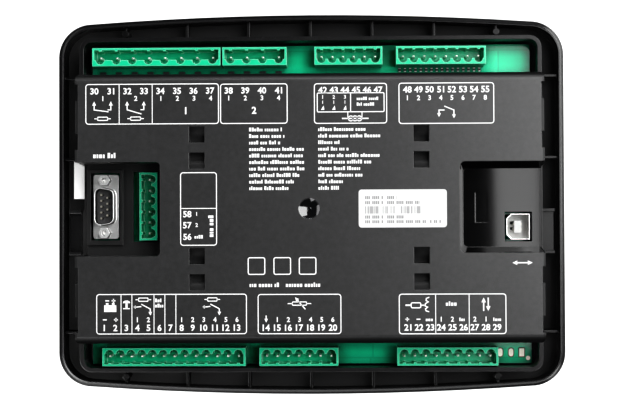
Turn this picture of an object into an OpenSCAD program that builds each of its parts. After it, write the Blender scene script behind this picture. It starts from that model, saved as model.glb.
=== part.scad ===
// Panel-mounted generator controller, rear terminals, front keys and display.
// Millimetres. X to the right seen from the front, Y towards the rear, Z up.
// The origin is the middle of the panel cut-out, on the panel's front face.

/* [Bezel] */
// Width across the bezel
bezel_w = 240.6; // [238:0.2:246]
// Height across the middle of the bezel
bezel_h = 180.4; // [178:0.2:186]
// How far the top and bottom edges bow out
edge_bow = 3.7; // [2.5:0.1:4.5]
// Corner radius of the bezel
bezel_r = 16; // [13:0.5:19]
// Depth of the bezel ahead of the panel
bezel_d = 14.7; // [14.4:0.1:15.6]
// Thickness of the front wall
front_t = 2.5; // [2.2:0.1:2.7]
// Bevel around the front edge
front_bevel = 1.5; // [0.8:0.1:1.5]
// Step of the parting line behind the bevel
part_line = 0.3; // [0.25:0.05:0.5]
// Width of the rim that seats on the panel
lip_w = 2.3; // [1.8:0.1:3]
// Thickness of the stiffening ribs in the channel
rib_t = 1.2; // [0.8:0.1:1.6]
// Spacing of the ribs along the top and bottom
rib_step = 29.6; // [26:0.2:30]
// How far the ribs stand from the panel
rib_drop = 3.5; // [2:0.5:6]
// Diameter of the round bosses on the outer ribs
boss_d = 3.2; // [2.6:0.2:4]
// Height of the side ribs above and below the middle
side_rib_z = 61; // [56:0.5:64]
// Height of the upper side rib
mid_rib_z = 22; // [19:0.5:26]

/* [Body] */
// Width of the body that goes through the cut-out
body_w = 218; // [217:0.2:219]
// Height of the body that goes through the cut-out
body_h = 158; // [157.4:0.2:159]
// Thickness of the body's walls
body_t = 2; // [1.8:0.1:2.2]
// How far the walls reach behind the panel
body_back = 8; // [7:0.5:9]
// Corner radius of the body
body_r = 6; // [4:0.5:8]
// Middle height of the clamp slots
clamp_z = -13.2; // [-15:0.2:-12]
// Height of the clamp slots
clamp_h = 20; // [16:0.5:22]
// Thickness of the ribs at the clamp slots
clamp_t = 1.4; // [1:0.1:1.8]

/* [Cover] */
// Inset of the cover from the body's sides
cover_inset = 1.3; // [1:0.1:1.6]
// Gap between the cover's skirt and the body
cover_gap = 0.6; // [0.4:0.1:0.8]
// Height of the cover
cover_h = 124.2; // [122:0.2:126]
// Middle height of the cover
cover_z = -2.25; // [-3:0.05:-1.5]
// Rear face of the cover behind the panel
cover_back = 27; // [26:0.5:32]
// Wall thickness of the cover
cover_t = 2.2; // [1.8:0.1:2.6]
// Radius along the cover's top and bottom edges
cover_r = 4; // [3:0.5:6]
// Corner radius seen from the rear
cover_corner = 2.4; // [1.5:0.1:3]
// Distance of the outer snap notches from the cover's top and bottom
notch_end = 8.6; // [8:0.1:10]
// Distance between neighbouring snap notches
notch_step = 22.6; // [20:0.2:24]
// Height of the snap notches in the sides
notch_h = 7.5; // [5:0.5:9]
// Depth of the snap notches
notch_d = 1.4; // [0.8:0.1:1.6]
// Depth of the ledge between two snap notches
notch_ledge = 1.2; // [0.6:0.1:2]
// Diameter of the bowl-shaped moulding dimple
dimple_d = 9.8; // [7:0.2:12]
// Depth of the bowl-shaped moulding dimple
dimple_deep = 1.1; // [0.8:0.1:1.3]

/* [Cable ties] */
// Distance of the tie bridges from the middle
tie_x = 51.45; // [48:0.5:54]
// Height of the tie bridges from the cover's middle
tie_z = 27.9; // [26:0.2:30]
// Width of a tie slot
tie_w = 7.1; // [5:0.1:8]
// Length over both tie slots
tie_span = 19.6; // [17:0.2:21]
// Depth of the tie slots
tie_deep = 5.4; // [5:0.1:5.8]
// Width of a bridge
bridge_w = 4.6; // [3.5:0.1:6]
// Thickness of a bridge
bridge_t = 2; // [1.6:0.1:2.4]

/* [Serial bay] */
// Length of the serial bay in from the body's side
serial_x = 40.5; // [39.5:0.5:42]
// Middle height of the serial bay
serial_z = -2.55; // [-3:0.05:-2]
// Height of the serial bay
serial_h = 43.4; // [42:0.2:45]
// Floor of the serial bay behind the panel
serial_floor = 1.6; // [1:0.2:2]
// Distance of the serial port's middle from the body's side
port_x = 11.4; // [11.2:0.1:12.5]
// Middle height of the serial port and the bus terminal
port_z = -0.9; // [-1.4:0.1:-0.4]
// Length of the port's flange
flange_l = 30.8; // [30.4:0.1:31.2]
// Width of the port's flange
flange_w = 12.5; // [12:0.1:12.6]
// Rear face of the port's flange
flange_back = 1.4; // [1.2:0.1:1.6]
// Spacing of the jack posts
jack_gap = 24.99; // [24.8:0.01:25.2]
// Width across the flats of a jack post
jack_af = 4.8; // [4.4:0.1:5]
// Length of a jack post
jack_l = 5.5; // [4.5:0.1:6]
// Width of the port's shell
port_shell_w = 9.36; // [9:0.02:9.6]
// Length of the port's shell on its wide side
port_shell_l = 17.92; // [17.6:0.02:18.2]
// Corner radius of the port's shell
port_shell_r = 3.1; // [2.2:0.1:3.4]
// Spacing along a row of port pins
port_pitch = 2.77; // [2.7:0.01:2.8]
// Spacing between the rows of port pins
port_rows = 2.84; // [2.7:0.01:2.9]
// Margin of the bay's floor around the port and terminal
port_gap = 0.6; // [0.5:0.1:0.8]

// Edge of the housing's wall beside the serial bay, ahead of the panel
serial_sill = -4.4; // [-4.8:0.1:-4]

/* [USB bay] */
// Length of the bay in from the body's side, at the cover's face
usb_bay_x = 40.1; // [39:0.1:40.6]
// Middle height of the bay
usb_bay_z = -2.2; // [-2.6:0.1:-1.8]
// Height of the bay's floor
usb_bay_h = 36.8; // [35:0.2:38]
// Draft of the bay's walls from face to floor
usb_draft = 2.5; // [1.5:0.1:3]
// Floor of the bay behind the panel
usb_floor = 11.5; // [10.8:0.1:12]
// Distance of the USB port's middle from the body's side
usb_x = 11.9; // [11:0.1:13]
// Middle height of the USB port
usb_z = -11.2; // [-12:0.1:-8]
// Width of the USB shell
usb_w = 10.9; // [10.6:0.1:11.1]
// Height of the USB shell
usb_h = 12.04; // [11.8:0.02:12.2]
// Thickness of the USB shell
usb_t = 0.4; // [0.3:0.05:0.5]
// Gap between the shell and the floor's opening
usb_gap = 0.8; // [0.5:0.1:1]
// Depth of the shell's end below the bay's floor
usb_sink = 0.5; // [0.2:0.1:0.8]
// Width of the blank for a second port in the bay's floor
blank_w = 5.6; // [5:0.1:6.5]
// Height of the blank
blank_h = 14; // [12:0.5:16]
// Depth of the blank
blank_deep = 0.5; // [0.3:0.1:0.8]
// Distance of the blank's middle from the USB port's middle
blank_step = 17.1; // [16:0.1:18]

/* [Board] */
// Rear face of the board, ahead of the panel
board_y = -5.1; // [-5.4:0.1:-5]
// Thickness of the board
board_t = 1.6; // [1.2:0.1:1.7]
// Gap between the board and the body's side walls
board_side = 2; // [1.5:0.1:2.5]
// Gap between the board and the body's top and bottom walls
board_end = 0.8; // [0.6:0.1:1]
// Distance of the corner screws from the body's sides
screw_x = 8.5; // [8.2:0.1:9.5]
// Distance of the upper screws from the cover's top
screw_z = 8.85; // [8.85:0.05:11]
// Distance of the lower screws from the cover's bottom
screw_low = 25; // [23:0.5:27]
// Gap between the middle screw's head and the relays
screw_relay_gap = 1.5; // [1:0.1:3]
// Diameter of a screw's shank
screw_d = 2.4; // [2:0.1:2.8]
// Diameter of a screw's head
head_d = 5.6; // [4.8:0.1:5.8]
// Clearance around a screw's shank
screw_gap = 0.3; // [0.3:0.05:0.4]
// Diameter of the posts under the board
post_d = 6.4; // [5.6:0.1:6.6]

/* [Terminals] */
// Pitch of the voltage terminals
pitch_high = 7.62; // [7.5:0.02:7.62]
// Pitch of the signal terminals
pitch_low = 5.08; // [5:0.02:5.08]
// Margin past the end pins of the voltage terminals
end_high = 3.75; // [3.4:0.05:3.9]
// Margin past the end pins of the signal terminals
end_low = 3.35; // [3.1:0.05:3.4]
// Width of a terminal's shell
term_w = 8.5; // [8.3:0.1:8.6]
// Height of a terminal's shell on the board
term_h = 12; // [11:0.1:12.5]
// Wall thickness of a terminal's shell
term_t = 0.9; // [0.8:0.05:1]
// Floor thickness of a terminal's shell
term_floor = 2.6; // [2:0.1:3]
// Width of a square pin
pin_w = 1; // [0.8:0.05:1.1]
// How far the pin tips stand above the board
pin_h = 9.4; // [8:0.1:10]
// Radius of the scallop at each pin
scallop_r = 2; // [1.7:0.05:2.05]
// Distance of the top row from the body's inner wall
top_row = 7.35; // [7:0.05:7.6]
// Distance of the bottom row from the body's inner wall
bottom_row = 5.2; // [5.1:0.05:5.5]
// Ways of the generator terminal
gen_ways = 8; // [5:1:8]
// Ways of the mains terminal
mains_ways = 4; // [3:1:4]
// Ways of the current terminal
ct_ways = 6; // [4:1:8]
// Ways of the input terminal
input_ways = 8; // [4:1:12]
// Ways of the supply terminal
supply_ways = 13; // [8:1:13]
// Ways of the sender terminal
sender_ways = 7; // [4:1:8]
// Ways of the data terminal
data_ways = 9; // [5:1:12]
// Ways of the bus terminal in the serial bay
bus_ways = 6; // [3:1:6]
// Distance of the bus terminal's pins from the body's side
bus_x = 32.7; // [32.2:0.1:33]
// Distance of the generator terminal's first pin from the body's side
gen_edge = 9.6; // [9:0.1:10.2]
// Distance between the generator terminal's last pin and the next pin
mains_gap = 8.45; // [8.2:0.05:10]
// Place of the current terminal's first pin, sideways
ct_first = -5.54; // [-7:0.02:-4]
// Distance between the current terminal's last pin and the next pin
input_gap = 13.15; // [10:0.05:14]
// Distance of the supply terminal's first pin from the body's side
supply_edge = 13.83; // [11:0.01:15]
// Distance between the supply terminal's last pin and the next pin
sender_gap = 13.29; // [10:0.01:16]
// Place of the data terminal's first pin, sideways
data_first = -43.97; // [-46:0.01:-42]

/* [Display] */
// Middle of the display, sideways
lcd_x = -38; // [-39:0.5:-37]
// Middle height of the display
lcd_z = 28; // [27:0.5:29]
// Width of the display window
window_w = 98; // [90:0.5:100]
// Height of the display window
window_h = 56; // [48:0.5:58]
// Margin of the display module around the window
lcd_margin = 6; // [4:0.2:6]
// Thickness of the display glass
glass_t = 1.8; // [1.4:0.1:2.2]
// Thickness of the front overlay
overlay_t = 0.4; // [0.3:0.05:0.5]
// Width of the front overlay
overlay_w = 222; // [216:0.5:226]
// Height of the front overlay
overlay_h = 160; // [157:0.5:162]
// Corner radius of the front overlay
overlay_r = 9; // [6:0.5:12]
// Clearance around the window lens
lens_gap = 0.3; // [0.2:0.05:0.4]

/* [Keys] */
// Spacing of the mode keys
key_step = 24; // [22.6:0.2:24.2]
// Height of the row of mode keys
key_z = -56; // [-57:0.5:-55]
// Width of a mode key
key_w = 17.4; // [15:0.2:18]
// Height of a mode key
key_h = 14.4; // [12:0.2:15]
// Corner radius of a mode key
key_r = 2.4; // [1.6:0.2:3]
// Middle of the navigation keys, sideways
nav_x = 45; // [44:0.5:45.5]
// Middle height of the navigation keys
nav_z = 34; // [33:0.5:36]
// Distance of the outer navigation keys from the middle one
nav_step = 16; // [15.8:0.1:16]
// Diameter of a navigation key
nav_d = 12.4; // [10:0.2:12.6]
// Clearance around every key
key_gap = 0.35; // [0.3:0.05:0.4]
// How far the keys stand proud of the front
key_proud = 0.6; // [0.4:0.1:1]
// Width of the flange that keeps a key in
key_flange = 1.1; // [0.9:0.1:1.3]
// Thickness of a key's flange
key_flange_t = 1; // [0.8:0.1:1]
// Travel of a key
key_travel = 0.8; // [0.5:0.1:0.8]
// Diameter of a key's stem
stem_d = 3; // [2.4:0.1:3.4]
// Width of a switch under a key
switch_w = 6.2; // [5.6:0.1:7]
// Height of a switch under a key
switch_h = 3.4; // [3.2:0.1:3.4]

/* [Lights] */
// Diameter of a light pipe
pipe_d = 3.6; // [3:0.1:4]
// Clearance around a light pipe
pipe_gap = 0.4; // [0.3:0.05:0.5]
// Height of a lamp on the board
lamp_h = 1.2; // [0.8:0.1:1.6]
// Height of the lights over the mode keys
mode_light_z = -41.5; // [-43:0.5:-41]
// Height of the lights of the power diagram
flow_z = -20; // [-22:0.5:-19]
// Spacing of the lights of the power diagram
flow_step = 42; // [38:0.5:44]
// Middle of the lights beside the label card, sideways
card_light_x = 79; // [77:0.5:80]
// Spacing of the lights beside the label card
card_light_step = 7; // [6:0.1:7]

/* [Labels] */
// Inner end of the label card
card_x = 72; // [71:0.5:73]
// How far the label card's tab stands out of the body's side
card_end = 4.4; // [3.6:0.2:5.4]
// Lower edge of the label card
card_z = 3; // [2.6:0.1:4]
// Height of the label card
card_h = 31; // [28:0.5:31]
// Thickness of the label card
card_t = 0.35; // [0.25:0.05:0.45]
// Clearance of the label card in its slot
card_gap = 0.4; // [0.3:0.05:0.6]
// Rear face of the card's folded tab, ahead of the panel
tab_y = -1.5; // [-2.5:0.1:-1.3]
// Width of the rating label
plate_w = 40.3; // [36:0.1:42]
// Height of the rating label
plate_h = 17.4; // [14:0.1:19]
// Middle of the rating label, sideways
plate_x = -42.8; // [-43.4:0.1:-42]
// Middle height of the rating label
plate_z = -2.7; // [-3.4:0.1:-2]
// Thickness of the rating label
plate_t = 0.15; // [0.1:0.05:0.25]

/* [Inside] */
// Spacing of the relays
relay_step = 20.4; // [19.6:0.1:21]
// Width of a relay
relay_w = 18.6; // [17:0.1:19]
// Depth of a relay off the board
relay_d = 15; // [12:0.5:16]
// Height of a relay
relay_h = 15.4; // [14:0.1:16]
// Distance of the relays' middle from the cover's bottom
relay_in = 24.35; // [22:0.05:26]
// Diameter of a capacitor
cap_d = 12.5; // [10:0.5:13]
// Spacing of the capacitors
cap_step = 15; // [14:0.2:16]
// Place of the first capacitor, sideways
cap_x = 30; // [28:0.5:32]
// Distance of the capacitors' middle from the cover's top
cap_in = 17.85; // [16:0.05:19]
// Length of a capacitor
cap_l = 17; // [14:0.5:18]
// Width of a current transformer
sense_w = 14; // [12:0.5:15]
// Height of a current transformer
sense_h = 10; // [8:0.5:11]
// Depth of a current transformer off the board
sense_d = 14; // [12:0.5:15]
// Diameter of the hole through a current transformer
sense_hole = 5; // [4:0.2:6]
// Spacing of the current transformers
sense_step = 17; // [16:0.2:18]
// Place of the first current transformer, sideways
sense_x = -4; // [-6:0.5:-2]
// Distance of the current transformers from the cover's top
sense_in = 9.85; // [9:0.05:12]
// Width of the processor
chip_w = 20; // [14:0.5:22]
// Depth of the processor off the board
chip_d = 1.5; // [1:0.1:2]
// Middle height of the processor
chip_z = 2; // [0:0.5:4]
// Width of the power transformer
core_w = 22; // [18:0.5:23]
// Depth of the power transformer off the board
core_d = 15; // [12:0.5:16]
// Gap between the power transformer and the serial bay's wall
core_gap = 9.3; // [6:0.1:11]
// Middle height of the power transformer
core_z = 10; // [8:0.5:12]
// Diameter of the sounder
sounder_d = 12; // [9:0.5:14]
// Depth of the sounder off the board
sounder_h = 8; // [6:0.5:9]
// Middle of the sounder, sideways
sounder_x = -40; // [-42:0.5:-38]
// Middle height of the sounder
sounder_z = 4; // [2:0.5:6]

/* [Hidden] */
$fn = 64;
EPS = 0.01;

// Planes along the depth
front_y = -bezel_d;
wall_y = front_y + front_t;
overlay_y = front_y + overlay_t;
board_front = board_y - board_t;

// Bezel outline
half_w = bezel_w / 2;
bow_half = half_w - bezel_r;
bow_r = (pow(bow_half, 2) + pow(edge_bow, 2)) / (2 * edge_bow);
function edge_z(x) = sqrt(pow(bow_r, 2) - pow(x, 2)) - bow_r + bezel_h / 2;

// Body and cover
in_w = body_w - 2 * body_t;
in_h = body_h - 2 * body_t;
cover_w = body_w - 2 * cover_inset;
skirt_w = in_w - 2 * cover_gap;
cover_in_w = skirt_w - 2 * cover_t;
cover_in_h = cover_h - 2 * cover_t;
cover_top = cover_z + cover_h / 2;
cover_bottom = cover_z - cover_h / 2;
tie_r = (pow(tie_span / 2, 2) + pow(tie_deep, 2)) / (2 * tie_deep);
notch_z = cover_h / 2 - notch_end;
dimple_r = (pow(dimple_d / 2, 2) + pow(dimple_deep, 2)) / (2 * dimple_deep);
NOTCHES = [-notch_z, notch_step - notch_z, notch_z - notch_step, notch_z];
serial_in = body_w / 2 - serial_x;
port_mid = body_w / 2 - port_x;
usb_bay_in = body_w / 2 - usb_bay_x;
usb_mid = body_w / 2 - usb_x;
card_out = body_w / 2 + card_end;

// Board and terminals
board_w = in_w - 2 * board_side;
board_h = in_h - 2 * board_end;
top_z = in_h / 2 - top_row;
bottom_z = -in_h / 2 + bottom_row;
pin_off = 0.25;
wall_row = term_w / 2 + pin_off;
cover_row = term_w / 2 - pin_off;
tail = 1.3;
relay_z = cover_bottom + relay_in;
mid_screw = [flow_step / 2, relay_z + relay_h / 2 + head_d / 2 + screw_relay_gap];

// First pins, then the middle of each terminal, which follows the last pin before it
gen_first = body_w / 2 - gen_edge;
mains_first = gen_first - (gen_ways - 1) * pitch_high - mains_gap;
input_first = ct_first - (ct_ways - 1) * pitch_low - input_gap;
supply_first = body_w / 2 - supply_edge;
sender_first = supply_first - (supply_ways - 1) * pitch_low - sender_gap;
gen_x = gen_first - (gen_ways - 1) * pitch_high / 2;
mains_x = mains_first - (mains_ways - 1) * pitch_high / 2;
ct_x = ct_first - (ct_ways - 1) * pitch_low / 2;
input_x = input_first - (input_ways - 1) * pitch_low / 2;
supply_x = supply_first - (supply_ways - 1) * pitch_low / 2;
sender_x = sender_first - (sender_ways - 1) * pitch_low / 2;
data_x = data_first - (data_ways - 1) * pitch_low / 2;
bus_mid = body_w / 2 - bus_x;

// Terminals as ways, pitch, end margin, x, z, turn about the depth
TERMS = [
    [gen_ways, pitch_high, end_high, gen_x, top_z, 0],
    [mains_ways, pitch_high, end_high, mains_x, top_z, 0],
    [ct_ways, pitch_low, end_low, ct_x, top_z, 0],
    [input_ways, pitch_low, end_low, input_x, top_z, 0],
    [supply_ways, pitch_low, end_low, supply_x, bottom_z, 180],
    [sender_ways, pitch_low, end_low, sender_x, bottom_z, 180],
    [data_ways, pitch_low, end_low, data_x, bottom_z, 180],
    [bus_ways, pitch_low, end_low, bus_mid, port_z, 90]
];

// Key places
KEY_X = [for (i = [0:7]) (i - 3.5) * key_step];
NAV = [[0, nav_step], [0, -nav_step], [-nav_step, 0], [nav_step, 0], [0, 0]];
switch_top = board_front - switch_h;
bore_d = stem_d + 0.7;
stem_in = 0.5;

// Light places
LIGHTS = concat(
    [for (x = KEY_X) [x, mode_light_z]],
    [for (i = [-2:2]) [i * flow_step, flow_z]],
    [for (i = [0:3]) [card_light_x, card_z + card_h / 2 + (i - 1.5) * card_light_step]]
);

// Screw places
screw_mid = body_w / 2 - screw_x;
SCREWS = [[screw_mid, cover_top - screw_z], [-screw_mid, cover_top - screw_z],
    [screw_mid, cover_bottom + screw_low], [-screw_mid, cover_bottom + screw_low], mid_screw];

// Flat shape in the plane of the panel, thickened from y0 to y1
module slab(y0, y1) {
    translate([0, y1, 0])
        rotate([90, 0, 0])
            linear_extrude(y1 - y0)
                children();
}

// Profile of depth and height, drawn out sideways from x0 to x1
module bar(x0, x1) {
    translate([x0, 0, 0])
        rotate([90, 0, 90])
            linear_extrude(x1 - x0)
                children();
}

module block(x0, x1, y0, y1, z0, z1) {
    translate([min(x0, x1), y0, z0])
        cube([abs(x1 - x0), y1 - y0, z1 - z0]);
}

module rod(x, z, y0, y1, d) {
    translate([x, y1, z])
        rotate([90, 0, 0])
            cylinder(d = d, h = y1 - y0);
}

module round_box(w, h, r) {
    square([w - 2 * r, h], center = true);
    square([w, h - 2 * r], center = true);
    for (x = [-1, 1]) {
        for (z = [-1, 1]) {
            translate([x * (w / 2 - r), z * (h / 2 - r)])
                circle(r = r);
        }
    }
}

// Outline of the bezel, moved in by a margin
module outline(margin) {
    corner_z = edge_z(bow_half) - bezel_r;
    r = bezel_r - margin;
    square([bezel_w - 2 * margin, 2 * corner_z], center = true);
    intersection() {
        square([2 * bow_half + 2, bezel_h], center = true);
        translate([0, bezel_h / 2 - bow_r])
            circle(r = bow_r - margin, $fn = 720);
        translate([0, bow_r - bezel_h / 2])
            circle(r = bow_r - margin, $fn = 720);
    }
    for (x = [-1, 1]) {
        for (z = [-1, 1]) {
            translate([x * bow_half, z * corner_z])
                circle(r = r);
        }
    }
}

// Holes for the keys through the front
module key_holes() {
    for (x = KEY_X) {
        translate([x, key_z])
            round_box(key_w + 2 * key_gap, key_h + 2 * key_gap, key_r + key_gap);
    }
    for (p = NAV) {
        translate([nav_x + p[0], nav_z + p[1]])
            circle(d = nav_d + 2 * key_gap);
    }
}

// Ribs that stiffen the channel between the rim and the body
module channel_ribs() {
    top = -rib_drop;
    for (i = [-3:3]) {
        for (s = [-1, 1]) {
            x = i * rib_step;
            z0 = body_h / 2 - 0.5;
            z1 = edge_z(x) - lip_w + 0.5;
            block(x - rib_t / 2, x + rib_t / 2, wall_y - 0.5, top, s > 0 ? z0 : -z1, s > 0 ? z1 : -z0);
        }
    }
    for (x = [-3 * rib_step, 3 * rib_step]) {
        for (s = [-1, 1]) {
            rod(x, s * (body_h / 2 + edge_z(x) - lip_w) / 2, wall_y - 0.5, top + 1, boss_d);
        }
    }
    for (s = [-1, 1]) {
        for (z = [-side_rib_z, mid_rib_z, side_rib_z]) {
            block(s * (body_w / 2 - 0.5), s * (half_w - lip_w + 0.5), wall_y - 0.5, top, z - rib_t / 2,
                z + rib_t / 2);
        }
    }
}

// Clamp slots at both sides, where the panel clamps hook in
module clamp_seats() {
    x0 = body_w / 2 - 0.5;
    x1 = half_w - lip_w - 2.2;
    for (s = [-1, 1]) {
        for (z = [clamp_z - clamp_h / 2, clamp_z + clamp_h / 2]) {
            block(s * x0, s * x1, wall_y - 0.5, -0.8, z - clamp_t / 2, z + clamp_t / 2);
        }
        block(s * x0, s * x1, -5.5, -4, clamp_z - clamp_h / 2, clamp_z + clamp_h / 2);
    }
}

module clamp_holes() {
    for (s = [-1, 1]) {
        block(s * (in_w / 2 - 1), s * (body_w / 2 + 0.2), 1, body_back - 2.4, clamp_z - clamp_h / 2 + 2,
            clamp_z + clamp_h / 2 - 2);
    }
}

// Front housing: front wall, rim, ribbed channel and the body's walls in one moulding
module front_housing() {
    color("#141414")
        difference() {
            union() {
                difference() {
                    union() {
                        hull() {
                            slab(front_y, front_y + 0.05)
                                outline(front_bevel, $fn = 96);
                            slab(front_y + front_bevel - 0.05, front_y + front_bevel)
                                outline(part_line, $fn = 96);
                        }
                        slab(front_y + front_bevel, 0)
                            outline(0);
                    }
                    slab(wall_y, 1)
                        difference() {
                            outline(lip_w);
                            round_box(body_w, body_h, body_r);
                        }
                    slab(wall_y, 1)
                        round_box(in_w, in_h, body_r - body_t);
                }
                slab(-1, body_back)
                    difference() {
                        round_box(body_w, body_h, body_r);
                        round_box(in_w, in_h, body_r - body_t);
                    }
                channel_ribs();
                clamp_seats();
                for (p = SCREWS) {
                    rod(p[0], p[1], wall_y - 0.5, board_front, post_d);
                }
            }
            slab(front_y - 1, overlay_y)
                round_box(overlay_w, overlay_h, overlay_r);
            slab(front_y - 1, wall_y + EPS) {
                translate([lcd_x, lcd_z])
                    square([window_w, window_h], center = true);
                key_holes();
                for (p = LIGHTS) {
                    translate(p)
                        circle(d = pipe_d + 2 * pipe_gap);
                }
            }
            for (p = SCREWS) {
                rod(p[0], p[1], wall_y + 0.5, board_front + 1, screw_d + 2 * screw_gap);
            }
            clamp_holes();
            block(in_w / 2 - 1, body_w / 2 + 1, serial_sill, body_back + 1, serial_z - serial_h / 2,
                serial_z + serial_h / 2);
            block(in_w / 2 - 1, card_out + card_gap, wall_y, wall_y + card_t + card_gap, card_z - card_gap,
                card_z + card_h + card_gap);
        }
}

// Depth and height profile of the cover, moved in by a margin
module cover_profile(y0, margin) {
    r = max(cover_r - margin, 0.5);
    h = cover_h - 2 * margin;
    back = cover_back - margin;
    translate([y0, cover_z - h / 2])
        square([back - r - y0, h]);
    translate([y0, cover_z - h / 2 + r])
        square([back - y0, h - 2 * r]);
    for (s = [-1, 1]) {
        translate([back - r, cover_z + s * (h / 2 - r)])
            circle(r = r);
    }
}

// Walls of the serial bay before it is hollowed
module serial_block() {
    block(serial_in - cover_t, skirt_w / 2 - EPS, serial_floor - cover_t, cover_back - cover_t + EPS,
        serial_z - serial_h / 2 - cover_t, serial_z + serial_h / 2 + cover_t);
}

module serial_hollow() {
    w = 80;
    slab(serial_floor, cover_back + 1)
        translate([serial_in + w / 2, serial_z])
            round_box(w, serial_h, 2);
}

// Raised frame and openings in the serial bay's floor
module port_frame() {
    block(port_mid - flange_w / 2 - port_gap - 1.4, skirt_w / 2 - EPS, serial_floor - 1,
        serial_floor + 1.8,
        port_z - flange_l / 2 - port_gap - 2.4, port_z + flange_l / 2 + port_gap + 1.6);
}

module port_openings() {
    block(port_mid - flange_w / 2 - port_gap, port_mid + flange_w / 2 + port_gap, serial_floor - 5,
        serial_floor + 5, port_z - flange_l / 2 - port_gap, port_z + flange_l / 2 + port_gap);
    bus_l = (bus_ways - 1) * pitch_low / 2 + end_low + port_gap;
    block(bus_mid - cover_row - port_gap, bus_mid + wall_row + port_gap + 3, serial_floor - 5,
        serial_floor + 5, port_z - bus_l, port_z + bus_l);
}

module usb_block() {
    block(-skirt_w / 2 + EPS, -(usb_bay_in - cover_t), usb_floor - cover_t, cover_back - cover_t + EPS,
        usb_bay_z - usb_bay_h / 2 - usb_draft - cover_t, usb_bay_z + usb_bay_h / 2 + usb_draft + cover_t);
}

module usb_hollow() {
    w = 80;
    grow = usb_draft * (cover_back + 1 - usb_floor) / (cover_back - usb_floor);
    hull() {
        slab(usb_floor, usb_floor + EPS)
            translate([-(usb_bay_in + usb_draft) - w / 2, usb_bay_z])
                round_box(w, usb_bay_h, 2, $fn = 32);
        slab(cover_back + 1 - EPS, cover_back + 1)
            translate([-(usb_bay_in + usb_draft - grow) - w / 2, usb_bay_z])
                round_box(w, usb_bay_h + 2 * grow, 2.6, $fn = 32);
    }
}

// Slots under a bridge for a cable tie, cut along an arc
module tie_slots(x, z) {
    difference() {
        translate([x - tie_w / 2, cover_back + tie_r - tie_deep, z])
            rotate([0, 90, 0])
                cylinder(r = tie_r, h = tie_w, $fn = 96);
        block(x - tie_w, x + tie_w, cover_back - bridge_t, cover_back + 40, z - bridge_w / 2,
            z + bridge_w / 2);
    }
}

module tie_hood(x, z) {
    w = tie_w + 2 * cover_t;
    intersection() {
        translate([x - w / 2, cover_back + tie_r - tie_deep, z])
            rotate([0, 90, 0])
                cylinder(r = tie_r + cover_t, h = w, $fn = 96);
        block(x - w, x + w, cover_back - tie_deep - cover_t - 1, cover_back - 1, z - 30, z + 30);
    }
}

// Rear cover: snap-on moulding with bays for the ports and bridges for cable ties
module rear_cover() {
    color("#3c3c3c")
        difference() {
            union() {
                difference() {
                    union() {
                        intersection() {
                            bar(-cover_w / 2, cover_w / 2)
                                cover_profile(body_back, 0);
                            slab(body_back, cover_back)
                                translate([0, cover_z])
                                    round_box(cover_w, cover_h, cover_corner);
                        }
                        bar(-skirt_w / 2, skirt_w / 2)
                            cover_profile(board_y, 0);
                    }
                    bar(-cover_in_w / 2, cover_in_w / 2)
                        cover_profile(board_y - 1, cover_t);
                }
                for (x = [-tie_x, tie_x]) {
                    for (z = [-tie_z, tie_z]) {
                        tie_hood(x, cover_z + z);
                    }
                }
                serial_block();
                usb_block();
            }
            difference() {
                serial_hollow();
                port_frame();
            }
            port_openings();
            usb_hollow();
            block(-usb_mid - usb_w / 2 - usb_gap, -usb_mid + usb_w / 2 + usb_gap, 0, usb_floor + 1,
                usb_z - usb_h / 2 - usb_gap, usb_z + usb_h / 2 + usb_gap);
            for (x = [-tie_x, tie_x]) {
                for (z = [-tie_z, tie_z]) {
                    tie_slots(x, cover_z + z);
                }
            }
            block(blank_step - usb_mid - blank_w / 2, blank_step - usb_mid + blank_w / 2,
                usb_floor - blank_deep, usb_floor + 1, usb_bay_z - blank_h / 2, usb_bay_z + blank_h / 2);
            translate([0, cover_back - dimple_deep + dimple_r, cover_z - 0.3])
                sphere(r = dimple_r);
            for (s = [-1, 1]) {
                for (z = NOTCHES) {
                    block(s * (cover_w / 2 - notch_d), s * (cover_w / 2 + 1), body_back + 3,
                        cover_back + 1, cover_z + z - notch_h / 2, cover_z + z + notch_h / 2);
                }
                for (z = [-notch_z, notch_z - notch_step]) {
                    block(s * (cover_w / 2 - notch_d), s * (cover_w / 2 + 1), cover_back - notch_ledge,
                        cover_back + 1, cover_z + z, cover_z + z + notch_step);
                }
            }
        }
    color("#3c3c3c")
        rod(0, cover_z - 0.3, cover_back - dimple_deep - 0.4, cover_back - dimple_deep + 0.4, 1.6);
}

// Front overlay: printed film let into the front wall
module front_overlay() {
    color("#2b2e31")
        slab(front_y, overlay_y)
            difference() {
                round_box(overlay_w - 0.4, overlay_h - 0.4, overlay_r - 0.2);
                key_holes();
            }
}

// Clear window behind the overlay
module display_lens() {
    color("#9fb0b8")
        slab(overlay_y, wall_y)
            translate([lcd_x, lcd_z])
                square([window_w - 2 * lens_gap, window_h - 2 * lens_gap], center = true);
}

// Display glass against the back of the front wall
module display_glass() {
    color("#5f7263")
        slab(wall_y, wall_y + glass_t)
            translate([lcd_x, lcd_z])
                square([window_w + 2 * lcd_margin, window_h + 2 * lcd_margin], center = true);
}

// Metal tray that holds the glass on the board
module display_tray() {
    color("#b9bcbd")
        slab(wall_y + glass_t, board_front)
            translate([lcd_x, lcd_z])
                difference() {
                    square([window_w + 2 * lcd_margin, window_h + 2 * lcd_margin], center = true);
                    square([window_w - 8, window_h - 8], center = true);
                }
}

// Light pipes from the lamps to the back of the overlay
module light_pipes() {
    color("#d8dde0")
        for (p = LIGHTS) {
            rod(p[0], p[1], overlay_y, board_front - lamp_h, pipe_d);
        }
}

module lamps() {
    color("#e6e2c8")
        for (p = LIGHTS) {
            block(p[0] - 1.6, p[0] + 1.6, board_front - lamp_h, board_front, p[1] - 1.4, p[1] + 1.4);
        }
}

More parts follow.
